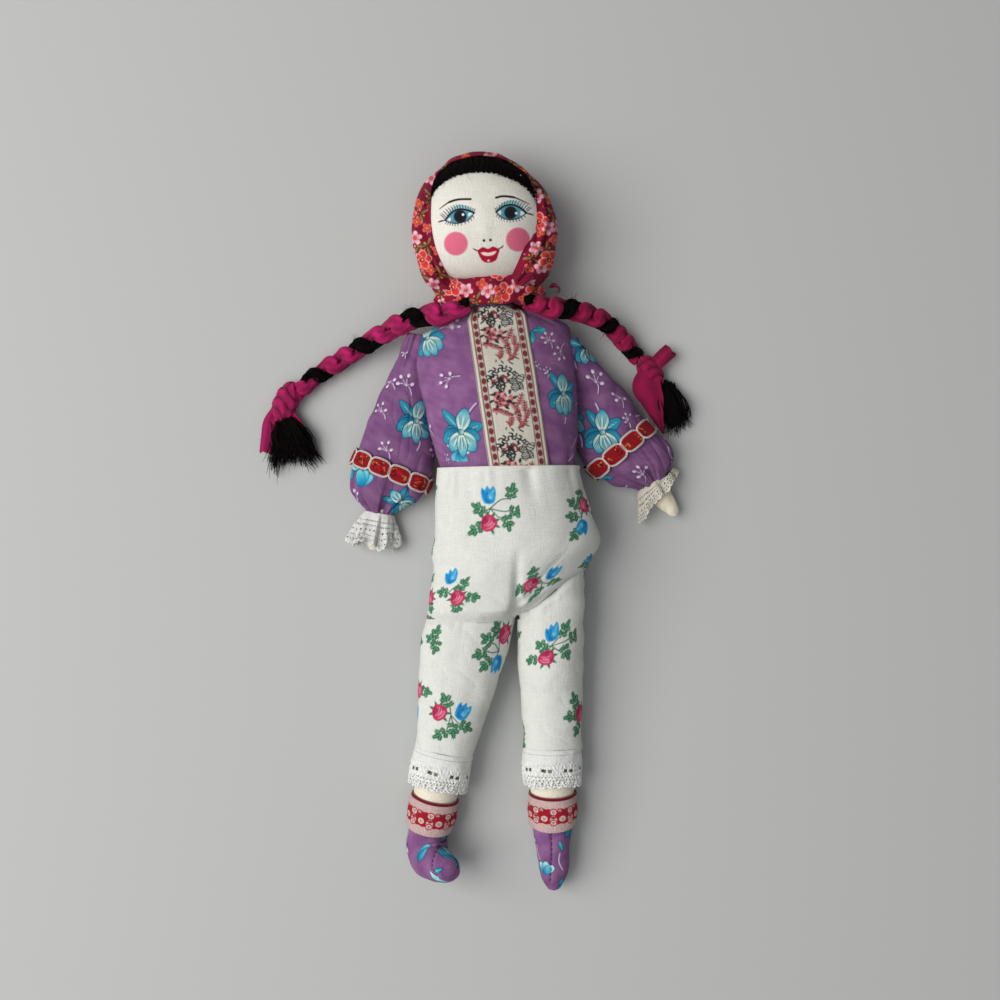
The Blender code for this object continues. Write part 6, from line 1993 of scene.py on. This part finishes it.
def make_ends():
    """The scarf's ends, crossed in a band under the chin and knotted at the nape."""
    count, section, hole = 520, 130, 11.2
    turn = np.arange(count) / count * TAU - math.pi / 2
    loop = np.arange(section) / section * TAU
    grid = np.zeros((count, section, 3))
    half = 5.4 + 0.5 * np.sin(turn * 2 + 0.4) + 0.35 * np.sin(turn * 5) + 0.25 * np.sin(turn * 11 + 1)
    outer_x, outer_z = 23.2, 15.6
    bump = 0.5 * np.sin(turn * 9 + 0.6) + 0.35 * np.sin(turn * 17 + 2)
    for k in range(section):
        c, s = math.cos(loop[k]), math.sin(loop[k])
        # c runs from the hole to the outside, s along the neck
        share = 0.5 + 0.5 * np.sign(c) * abs(c) ** 0.6
        rx = hole + (outer_x - hole) * share
        rz = hole + (outer_z - hole) * share
        y = np.sign(s) * abs(s) ** 0.75 * half
        pleat = 0.75 * np.sin(y / 5.4 * math.pi * 1.8 + 1.6 * np.sin(turn + 0.7)) * max(c, 0) ** 0.5
        pleat = pleat + bump * max(c, 0) ** 0.5 * 0.8
        grid[:, k, 0] = NECK[0] + (rx + pleat) * np.cos(turn)
        grid[:, k, 2] = NECK[2] + (rz + pleat) * np.sin(turn)
        grid[:, k, 1] = NECK[1] + y + 0.6 * np.sin(turn * 2)
    lower = np.clip((NECK[1] - grid[..., 1]) / 5.0, 0, 1) * np.clip((grid[..., 2] - 20) / 8, 0, 1)
    grid[..., 1] -= 1.2 * lower
    grid[..., 1] += 0.7 * np.clip(grid[..., 2] - 22, 0, 10) / 10 * (1 - lower)
    grid = rest(grid)
    p = Cloth(np.transpose(grid, (1, 0, 2)), DEEP)
    p.soft = 0.26
    shaded(p, DEEP, WINE, 10, 16)
    for x, y, kind in ((453, 287, 0), (466, 290, 1), (487.5, 291, 1), (517, 285, 1), (503, 292, 0),
                       (476, 300, 2), (535, 292, 0), (441, 294, 2), (524, 299, 3), (458, 302, 3),
                       (497, 301, 3), (482, 284, 3)):
        p.view(x, y, 0.4 * kind)
        scarf_motif(p, kind)
    for k, (x, y, angle, m) in enumerate(p.free(5.0, 23, 1100, 0.3)):
        p.at(x, y, angle, 0.40)
        scarf_motif(p, (k + m) % 4)
    scatter(p, 220, 17)
    # Both ways round closed: repeat the first row of the section
    ring, paint = (np.concatenate([part, part[:1]]) for part in (p.grid, p.result()))
    piece("scarf_ends_cloth", ring, paint, scarf_cloth, "head", ["scarf_ends"])
    lines, tints = [], []
    r = np.random.default_rng(19)
    for k in range(14):
        points = np.array([(550, 287), (554, 285), (558, 287), (560, 291), (556, 294)], float)
        points += r.normal(0, 1.3, points.shape)
        lines.append(np.array([spot(x, y, 17.5 + r.normal(0, 0.5)) for x, y in points[: r.integers(3, 6)]]))
        tints.append((rgb(150, 20, 60), rgb(90, 10, 40))[k % 2])
    tubes("scarf_ends_threads", lines, 0.12, thread, "head", tints, sides=4)


make_ends()


def knot_mesh(name, centre, axes, radii, body, colour, seed, nodes=()):
    """A wrapped knot of magenta cloth: a long ball with the strip's turns round it, painted darker in the
    grooves between the turns.
    """
    a = np.concatenate([[0.01], np.linspace(0.06, math.pi - 0.06, 90), [math.pi - 0.01]])
    t = np.arange(120) / 120 * TAU
    A, T = a[:, None], t[None, :]
    wrap = np.cos(A) * 1.4 + 0.25 * np.sin(T + seed) + 0.12 * np.sin(3 * T + 2 * seed)
    ridge = abs(np.sin(wrap * 4)) ** 0.55
    r = 0.86 + 0.14 * ridge + 0.04 * np.sin(7 * T + 5 * A + seed)
    ball = np.stack([np.cos(A) + 0 * T, np.sin(A) ** 0.8 * np.cos(T), np.sin(A) ** 0.8 * np.sin(T)], -1)
    local = ball * r[..., None] * np.asarray(radii)
    grid = np.asarray(centre) + local @ np.asarray(axes)
    grid = rest(grid)
    crumple = waves(grid, 3.0, 170, 2)
    # Painted shade in the grooves between the turns and painted highlight on their ridges; the crumple is
    # uneven tone.
    paint = np.asarray(colour) * (0.56 + 0.45 * ridge + 0.05 * crumple)[..., None]
    return piece(name, grid, paint, magenta_cloth, body, nodes, closed=True)


# Each braid: its root and its route from there in millimetres; then, by pixel of the photograph, where the
# wool strand lies on top, the knot's ends and the tails' points, both with heights, and the corners of the
# wool below
BRAID = {
    "right": dict(
        root=(-12.0, 36.6, 28.4),
        route=((0, 0, 0), (-9, -3.2, -1), (-21, -3.8, -7), (-31.5, -7, -13.4), (-45, -13.6, -19.9),
               (-58, -21.4, -22.9), (-69, -28.5, -23.8), (-76, -35, -24)),
        tops=((418, 317), (361, 341), (314, 369)), knot=((295, 383, 4.8), (277, 421, 4.4)),
        knot_half=(5.5, 4.3),
        tails=(((277, 408, 5.6, 9), (270, 422, 6.0, 14), (268, 438, 5.0, 15), (266, 452, 3.6, 14)),
               ((290, 414, 5.0, 9), (297, 424, 5.2, 11), (303, 434, 4.4, 9), (308, 440, 3.4, 5))),
        locks=((273, 424), (294, 420), (270, 477), (327, 463)), lock_z=4.2,
        colours=(rgb(166, 24, 88), rgb(166, 24, 88)), pull=1.5, fuller=1.55, seed=2.0),
    "left": dict(
        root=(11.0, 38.3, 27.9),
        route=((0, 0, 0), (9.5, -2.4, -1), (18.5, -2.4, -5.2), (27, -3.8, -10.4), (36, -7, -16.4),
               (42.5, -13, -20.8), (47.5, -18.2, -23), (50.1, -21.2, -23.6)),
        tops=((568, 306), (612, 322), (634, 351)), knot=((640, 357, 4.6), (660, 386, 4.4)),
        knot_half=(4.9, 4.3),
        tails=(((650, 371, 6.0, 13), (657, 363, 6.6, 15), (664, 356, 6.0, 16), (671, 350, 5.0, 16)),
               ((650.4, 370, 7.4, 20), (646.8, 386, 8.0, 30), (651.6, 398, 7.4, 25), (655.2, 410, 6.6, 18),
                (659, 422, 5.4, 9), (663, 431.5, 4.4, 3))),
        locks=((660, 384), (672, 386), (667, 437), (690, 424)), lock_z=3.0,
        colours=(rgb(154, 16, 70), rgb(150, 16, 70)), pull=1.3, fuller=1.2, seed=1.0),
}
THICK = (0.62, 0.98, 1.00, 0.98, 0.94, 0.90, 0.86, 0.74)


def make_braid(side):
    """A plait of two magenta strips and a strand of dark wool, each swept along its own winding route."""
    data = BRAID[side]
    root = np.array(data["root"])
    rows = even(np.column_stack([data["route"], THICK]), 520, [0, 1, 2])
    path = root + rows[:, :3]
    heading, across, up = route_frame(path)
    along = np.cumsum(np.linalg.norm(np.gradient(path, axis=0), axis=1))
    seen = pixels(path)
    # The wool strand lies on top at the given pixels
    tops = [along[int(np.argmin(np.hypot(seen[:, 0] - x, seen[:, 1] - y)))] for x, y in data["tops"]]
    gap = np.diff(tops).mean()
    knots = [tops[0] - gap * 2, tops[0] - gap, *tops, tops[-1] + gap, tops[-1] + 2 * gap]
    phase = np.interp(along, knots, np.arange(len(knots)) * TAU)
    size = rows[:, 3]
    sign = SIGN[side] * -1
    held = np.clip(along / 6, 0, 1) * np.clip((along[-1] - along) / 5, 0, 1)
    for k in range(3):
        q = phase + (k + 1) * TAU / 3
        off = sign * 2.30 * size * np.sin(q)
        middle = path + across * off[:, None] + up * (1.7 * size * np.cos(q))[:, None]
        middle = middle - heading * (sign * data["pull"] * off * held)[:, None]
        _, flat, rise = route_frame(middle, up)
        wide = (2.25 + data["fuller"] * np.clip(np.cos(q), 0, 1)) * size
        high = 2.15 * size
        if k < 2:
            braid_strip(side, k, middle, flat, rise, wide, high, along, np.clip(np.cos(q), -0.3, 1))
        else:
            braid_wool(side, middle, (flat, rise), (wide, high), along, (heading, across, up), size,
                       np.cos(q))


def braid_strip(side, k, middle, flat, rise, wide, high, along, shown):
    """One strip of magenta cloth of a braid, pleated lengthwise, with painted light and shade."""
    around = 56
    turn = np.arange(around)[None, :] / around * TAU
    pleats = 0.07 * np.sin(3 * turn + along[:, None] * 0.35 + k)
    pleats = pleats + 0.05 * np.sin(6 * turn - along[:, None] * 0.6)
    grid = middle[:, None] + (flat[:, None] * (np.cos(turn) * wide[:, None] * (1 + pleats))[..., None]
                              + rise[:, None] * (np.sin(turn) * high[:, None] * (1 + pleats))[..., None])
    grid = rest(grid)
    # Painted light and shade: lighter on the strip's upper side where it lies on top of the braid, lighter on
    # raised pleats and darker between them.
    top = np.clip((grid - middle[:, None]) @ np.array([0, 0, 1.0]) / 2.2, -1, 1)
    shade = 0.86 + 0.14 * top * shown[:, None] + 1.4 * np.clip(pleats, -0.1, 0.1)
    piece(f"{side}_braid_strip_{k + 1}", grid, BRAID[side]["colours"][0] * shade[..., None], magenta_cloth,
          f"{side}_braid", [f"{side}_braid"] if k == 0 else [], closed=True)


def braid_wool(side, middle, section, sizes, along, axes, size, shown):
    """The wool strand of a braid: thick twisted strands, and loose hairs where it lies on top."""
    (flat, rise), (wide, high), (heading, across, up) = section, sizes, axes
    r = np.random.default_rng(140 + SIGN[side])
    lines, tints, radii = [], [], []
    pick = slice(None, None, 6)
    for _ in range(60):
        far, turn = math.sqrt(r.uniform(0.02, 1)), r.uniform(0, TAU)
        twist = turn + along[pick] / 30 * TAU * 0.6
        o = middle[pick] + flat[pick] * (far * 0.92 * np.cos(twist) * wide[pick])[:, None]
        o = o + rise[pick] * (far * 0.92 * np.sin(twist) * high[pick])[:, None]
        o += r.normal(0, 0.12, o.shape)
        lines.append(rest(o, 0.3))
        radii.append(r.uniform(0.24, 0.42))
        tints.append(rgb(11, 8, 8) * r.uniform(0.5, 1.7))
    for _ in range(560):
        i = r.integers(8, len(middle) - 8)
        if shown[i] < 0.1:
            continue
        way = across[i] * r.normal(0, 1) + up[i] * abs(r.normal(0, 0.35)) + heading[i] * r.normal(0, 0.7)
        way /= np.linalg.norm(way)
        start = middle[i] + (across[i] * r.normal(0, 1.2) + up[i] * r.uniform(0, 1.9)) * size[i]
        length = r.uniform(1.6, 4.4)
        f = np.linspace(0, 1, 6)[:, None]
        lines.append(rest(start + way * length * f + r.normal(0, 0.9, 3) * f**2, 0.15))
        radii.append(r.uniform(0.05, 0.07))
        tints.append(rgb(17, 12, 11) * r.uniform(0.6, 1.6))
    tubes(f"{side}_braid_wool", lines, radii, wool, f"{side}_braid", tints, sides=5)


def strip(name, places, body, colour, seed):
    """A flat strip of cloth along pixels of the photograph, each (x, y, z, width), its end cut raggedly and
    its folds painted with light and shade.
    """
    thick, fray = 0.8, 1.1
    rows = even([(*spot(x, y, z), width * PIXEL) for x, y, z, width in places], 150, [0, 1, 2])
    route, wide = rows[:, :3], rows[:, 3]
    heading, across, _ = route_frame(route)
    around = 96
    turn = np.arange(around) / around * TAU
    c, s = np.cos(turn), np.sin(turn)
    flat = np.sign(c) * abs(c) ** 0.7
    grid = route[:, None] + across[:, None] * (flat[None, :] * wide[:, None] / 2)[..., None]
    r = np.random.default_rng(seed)
    end = np.clip((np.linspace(0, 1, len(route)) - 0.6) / 0.4, 0, 1)[:, None]
    ragged = np.interp(flat, np.linspace(-1, 1, 9), r.uniform(-1, 1, 9))[None, :]
    grid = grid + heading[-1] * (ragged * end**2 * fray)[..., None]
    fold = 0.42 * np.sin(flat * 4.0 + 0.8 * seed)[None, :] + 0.2 * waves(grid, 9, seed, 1)
    grid[..., 2] += fold * 0.8 + s[None, :] * thick / 2
    grid = rest(grid, 0.15)
    # Painted shade and highlight: darker in the dips of the folds, lighter on their crests.
    paint = np.asarray(colour) * (0.90 + 0.22 * fold)[..., None]
    return piece(name, grid, paint, magenta_cloth, body, closed=True)


def make_tie(side):
    """The magenta strip knotted round a braid's end, and its tails."""
    data = BRAID[side]
    start, end = (np.array(spot(x, y, z)) for x, y, z in data["knot"])
    long = np.linalg.norm(end - start) / 2
    way = (end - start) / (2 * long)
    out = unit(np.cross(way, [0, 0, 1.0]))
    axes = np.stack([way, out, np.cross(out, way)])
    colour = data["colours"][1]
    knot_mesh(f"{side}_braid_knot", (start + end) / 2, axes, (long, *data["knot_half"]), f"{side}_braid",
              colour, data["seed"], [f"{side}_braid_tie"])
    for k, places in enumerate(data["tails"]):
        strip(f"{side}_braid_tail_{k + 1}", places, f"{side}_braid", colour, 150 + 7 * k + SIGN[side])


def make_tassel(side):
    """The wool left below the tie, in locks that fan out on the table, with loose hairs."""
    data = BRAID[side]
    r = np.random.default_rng(160 + SIGN[side])
    (x0, y0), (x1, y1), (x2, y2), (x3, y3) = data["locks"]
    lines, tints, radii = [], [], []
    locks = 17
    for lock in range(locks):
        share = (lock + 0.5) / locks + r.normal(0, 0.03)
        z = data["lock_z"] + r.normal(0, 0.9)
        base = np.array(spot(x0 + (x1 - x0) * share, y0 + (y1 - y0) * share, z))
        reach = r.uniform(0.66, 1.0)
        over = 0.12 * math.sin(share * math.pi)
        end = np.array(spot(x2 + (x3 - x2) * share, y2 + (y3 - y2) * share, abs(r.normal(1.5, 1.0)) + 0.3))
        end = base + (end - base) * (reach + over)
        sway = r.normal(0, 1.8, 3)
        sway[2] = abs(sway[2]) * 0.5
        for _ in range(24):
            f = np.linspace(0, 1, 11)[:, None]
            tip = end + r.normal(0, 0.75, 3) * [1, 1, 0.5]
            o = base + r.normal(0, 0.8, 3) * [1, 1, 0.8] + (tip - base) * f * r.uniform(0.82, 1.0)
            o = o + sway * np.sin(f * math.pi) + np.cumsum(r.normal(0, 0.19, (11, 3)), axis=0)
            o[:, 2] += 1.6 * np.sin(0.3 + 2.6 * f[:, 0])
            lines.append(rest(o, 0.25))
            radii.append(r.uniform(0.15, 0.32))
            tints.append(rgb(13, 9, 9) * r.uniform(0.4, 1.7))
    for _ in range(60):
        share = r.uniform(0, 1)
        base = np.array(spot(x2 + (x3 - x2) * share, y2 + (y3 - y2) * share, 1.5))
        base = base + (np.array(spot(x0, y0, 3.0)) - base) * r.uniform(0.1, 0.7)
        f = np.linspace(0, 1, 6)[:, None]
        lines.append(rest(base + r.normal(0, 3.0, 3) * [1, 1, 0.3] * f + r.normal(0, 0.8, 3) * f**2, 0.15))
        radii.append(0.06)
        tints.append(rgb(17, 12, 11) * r.uniform(0.6, 1.6))
    tubes(f"{side}_tassel_wool", lines, radii, wool, f"{side}_braid", tints, sides=4,
          nodes=[f"{side}_braid_tassel"])


for side in SIDES:
    make_braid(side)
    make_tie(side)
    make_tassel(side)


# What is hidden: stuffing, neck, seams and elastic


def section(rows, y):
    """Half width, half depth, x and z of rows at a place."""
    return [np.interp(y, rows[:, 0], rows[:, k]) for k in (1, 2, 3, 4)]


def make_stuffing():
    """The stuffed body inside bodice and trousers, sewn flat along a slanting seam at the hips."""
    rows = []
    blouse_fine = even(blouse_rows(), 200)
    blouse_fine = blouse_fine[np.argsort(blouse_fine[:, 0])]
    top = NECKLINE - 2.5
    for step in range(9):
        y = top - (top + WAIST) * step / 9
        w, d, x, z = section(blouse_fine, y)
        w2, d2 = section(blouse_fine, y + 2.6)[:2]
        half = min(w - 1.3, w2 - 1.3, CHEST[0] - 7 + max(14 - y, 0) * 0.3)
        rows.append((y, half, min(d, d2) - 2.6, x, z, 0))
    seam = turned((HIP["right"] + HIP["left"]) / 2, (0, 0, 0), -TILT)
    slope = math.tan(SEAM_ANGLE - TILT)
    below = np.array(seat_rows())[::-1]
    space, seam_half = 3.8, 28
    for place, depth, narrow in ((0, 0.94, 0), (0.36, 0.96, 0.05), (0.62, 0.88, 0.25), (0.80, 0.62, 0.60),
                                 (0.92, 0.28, 0.90), (1.0, 0.0, 1.0)):
        y = -WAIST - place * SEAT_LENGTH
        w, d, x, z = section(below, y)
        w = w - space + narrow * (seam_half - w + space)
        x += (seam[0] - x) * narrow
        y = -WAIST + (y + WAIST) * (seam[1] + WAIST) / (WAIST - CROTCH)
        rows.append((y, w, max(depth * (d - space), 0.8), x, z + (LEG_Z - z) * narrow, slope * narrow))
    grid, _ = loft(rows, 120, 120, lengths=[0])
    grid = turned(rest(grid, 0.6), (0, 0, 0), TILT)
    paint = plain(grid, 226, 217, 195)
    body = piece("stuffed_body_calico", grid, paint, calico, "torso", ["stuffed_body"], closed=True)


def make_neck():
    """The stuffed stub that carries the head, round on top."""
    half = 8.5
    rows = [(-10.2, half, half, 0, 0, 0), (0, half, half, 0, 0, 0), *dome(half, (25, 48, 68, 84))]
    grid, _ = loft(rows, 40, 60, lengths=[0])
    grid = turned(grid, NECK, TILT)
    paint = plain(grid, 226, 217, 195)
    neck = piece("neck_calico", grid, paint, calico, "neck", ["neck"], closed=True)


def make_seams():
    """The rings of thread that sew the head to the neck and each arm to the body."""
    turn = np.linspace(0, TAU, 400)
    ring_size = 3.2
    for name, body, centre, radius, axis in (
        ("neck_stitches", "neck_seam", NECK, 9.15, "y"),
        ("right_shoulder_stitches", "right_shoulder", SHOULDER["right"], ring_size, "x"),
        ("left_shoulder_stitches", "left_shoulder", SHOULDER["left"], ring_size, "x"),
    ):
        if axis == "y":
            ring = np.stack([radius * np.cos(turn), 0.35 * np.sin(turn * 24), radius * np.sin(turn)], -1)
            node = "neck_stitching"
        else:
            sign = -1 if "right" in name else 1
            out = -sign * (math.sqrt(ARM_SIZE**2 - radius**2) + 0.65)
            ring = np.stack([out + 0.3 * np.sin(turn * 12), radius * np.cos(turn), radius * np.sin(turn)], -1)
            node = name.replace("stitches", "stitching")
        tubes(name, [turned(ring, centre, TILT)], 0.35, thread, body, rgb(60, 50, 48), sides=6, taper=1.0,
              nodes=[node])


def make_elastic():
    """The elastic in the casing of the trousers."""
    below = np.array(seat_rows())[::-1]
    rows = []
    for y in (-WAIST - 9.0, -WAIST - 13.0):
        w, d, x, z = section(below, y)
        rows.append((y, w - 2.0, d - 2.0, x, z, 0))
    grid, _ = loft(rows, 12, 200, lengths=[0])
    grid = turned(rest(grid, 1.0), (0, 0, 0), TILT)
    paint = plain(grid, 225, 225, 220)
    piece("waist_elastic_band", grid, paint, band_cloth, "torso", ["waist_elastic"], thickness=0.9)


def make_crotch_stitch():
    """The knot of dark thread where the creases meet."""
    at = spot(517.7, 617.3, 31.3)
    lines = []
    r = np.random.default_rng(3)
    for k in range(9):
        a = k / 9 * TAU
        f = np.linspace(0, 1, 7)[:, None]
        way = np.array([math.cos(a), math.sin(a), 0])
        lines.append(at + way * (f - 0.35) * r.uniform(1.2, 2.0)
                     + np.array([0, 0, 0.35]) * np.sin(f * math.pi))
    tubes("crotch_knot", lines, 0.40, thread, "torso", rgb(40, 34, 34), sides=5, nodes=["crotch_stitch"])


for make in (make_stuffing, make_neck, make_seams, make_elastic, make_crotch_stitch):
    make()


# Floor, light and camera


def stage():
    """The grey table, the window's light from the left, the room's light and the camera straight above."""
    made = bpy.data.materials.new("table_top")
    made.use_nodes = True
    look = {"Roughness": 0.75, "Specular IOR Level": 0.3, "Base Color": (*linear(rgb(181, 182, 180)), 1)}
    set_inputs(made.node_tree.nodes["Principled BSDF"], look)
    mesh = bpy.data.meshes.new("floor")
    far = 4
    mesh.from_pydata([(-far, -far, 0), (far, -far, 0), (far, far, 0), (-far, far, 0)], [], [(0, 1, 2, 3)])
    mesh.materials.append(made)
    floor = bpy.data.objects.new("floor", mesh)
    bpy.context.scene.collection.objects.link(floor)

    def lamp(name, place, size, power, colour, target=(0, -0.05, 0)):
        data = bpy.data.lights.new(name, "AREA")
        data.shape = "SQUARE"
        data.size = size
        data.energy = power
        data.color = colour
        made = bpy.data.objects.new(name, data)
        made.location = place
        made.rotation_euler = (Vector(target) - Vector(place)).to_track_quat("-Z", "Y").to_euler()
        bpy.context.scene.collection.objects.link(made)

    # Place, size in metres, power in watts and colour
    lamp("window", (-1.05, 0.0, 1.2), 1.35, 27.5, (1.0, 0.99, 0.97))
    lamp("room", (-0.2, -0.7, 1.5), 1.5, 6.0, (0.96, 0.98, 1.0))
    world = bpy.data.worlds.new("studio")
    world.use_nodes = True
    set_inputs(world.node_tree.nodes["Background"], {"Color": (0.95, 0.97, 1.0, 1), "Strength": 0.20})
    bpy.context.scene.world = world

    data = bpy.data.cameras.new("camera")
    data.lens = 45.25
    data.sensor_width = 36.0
    data.clip_start = 0.01
    made = bpy.data.objects.new("camera", data)
    made.location = CAMERA * MM
    bpy.context.scene.collection.objects.link(made)
    bpy.context.scene.camera = made
    bpy.context.scene.view_settings.view_transform = "Standard"


stage()
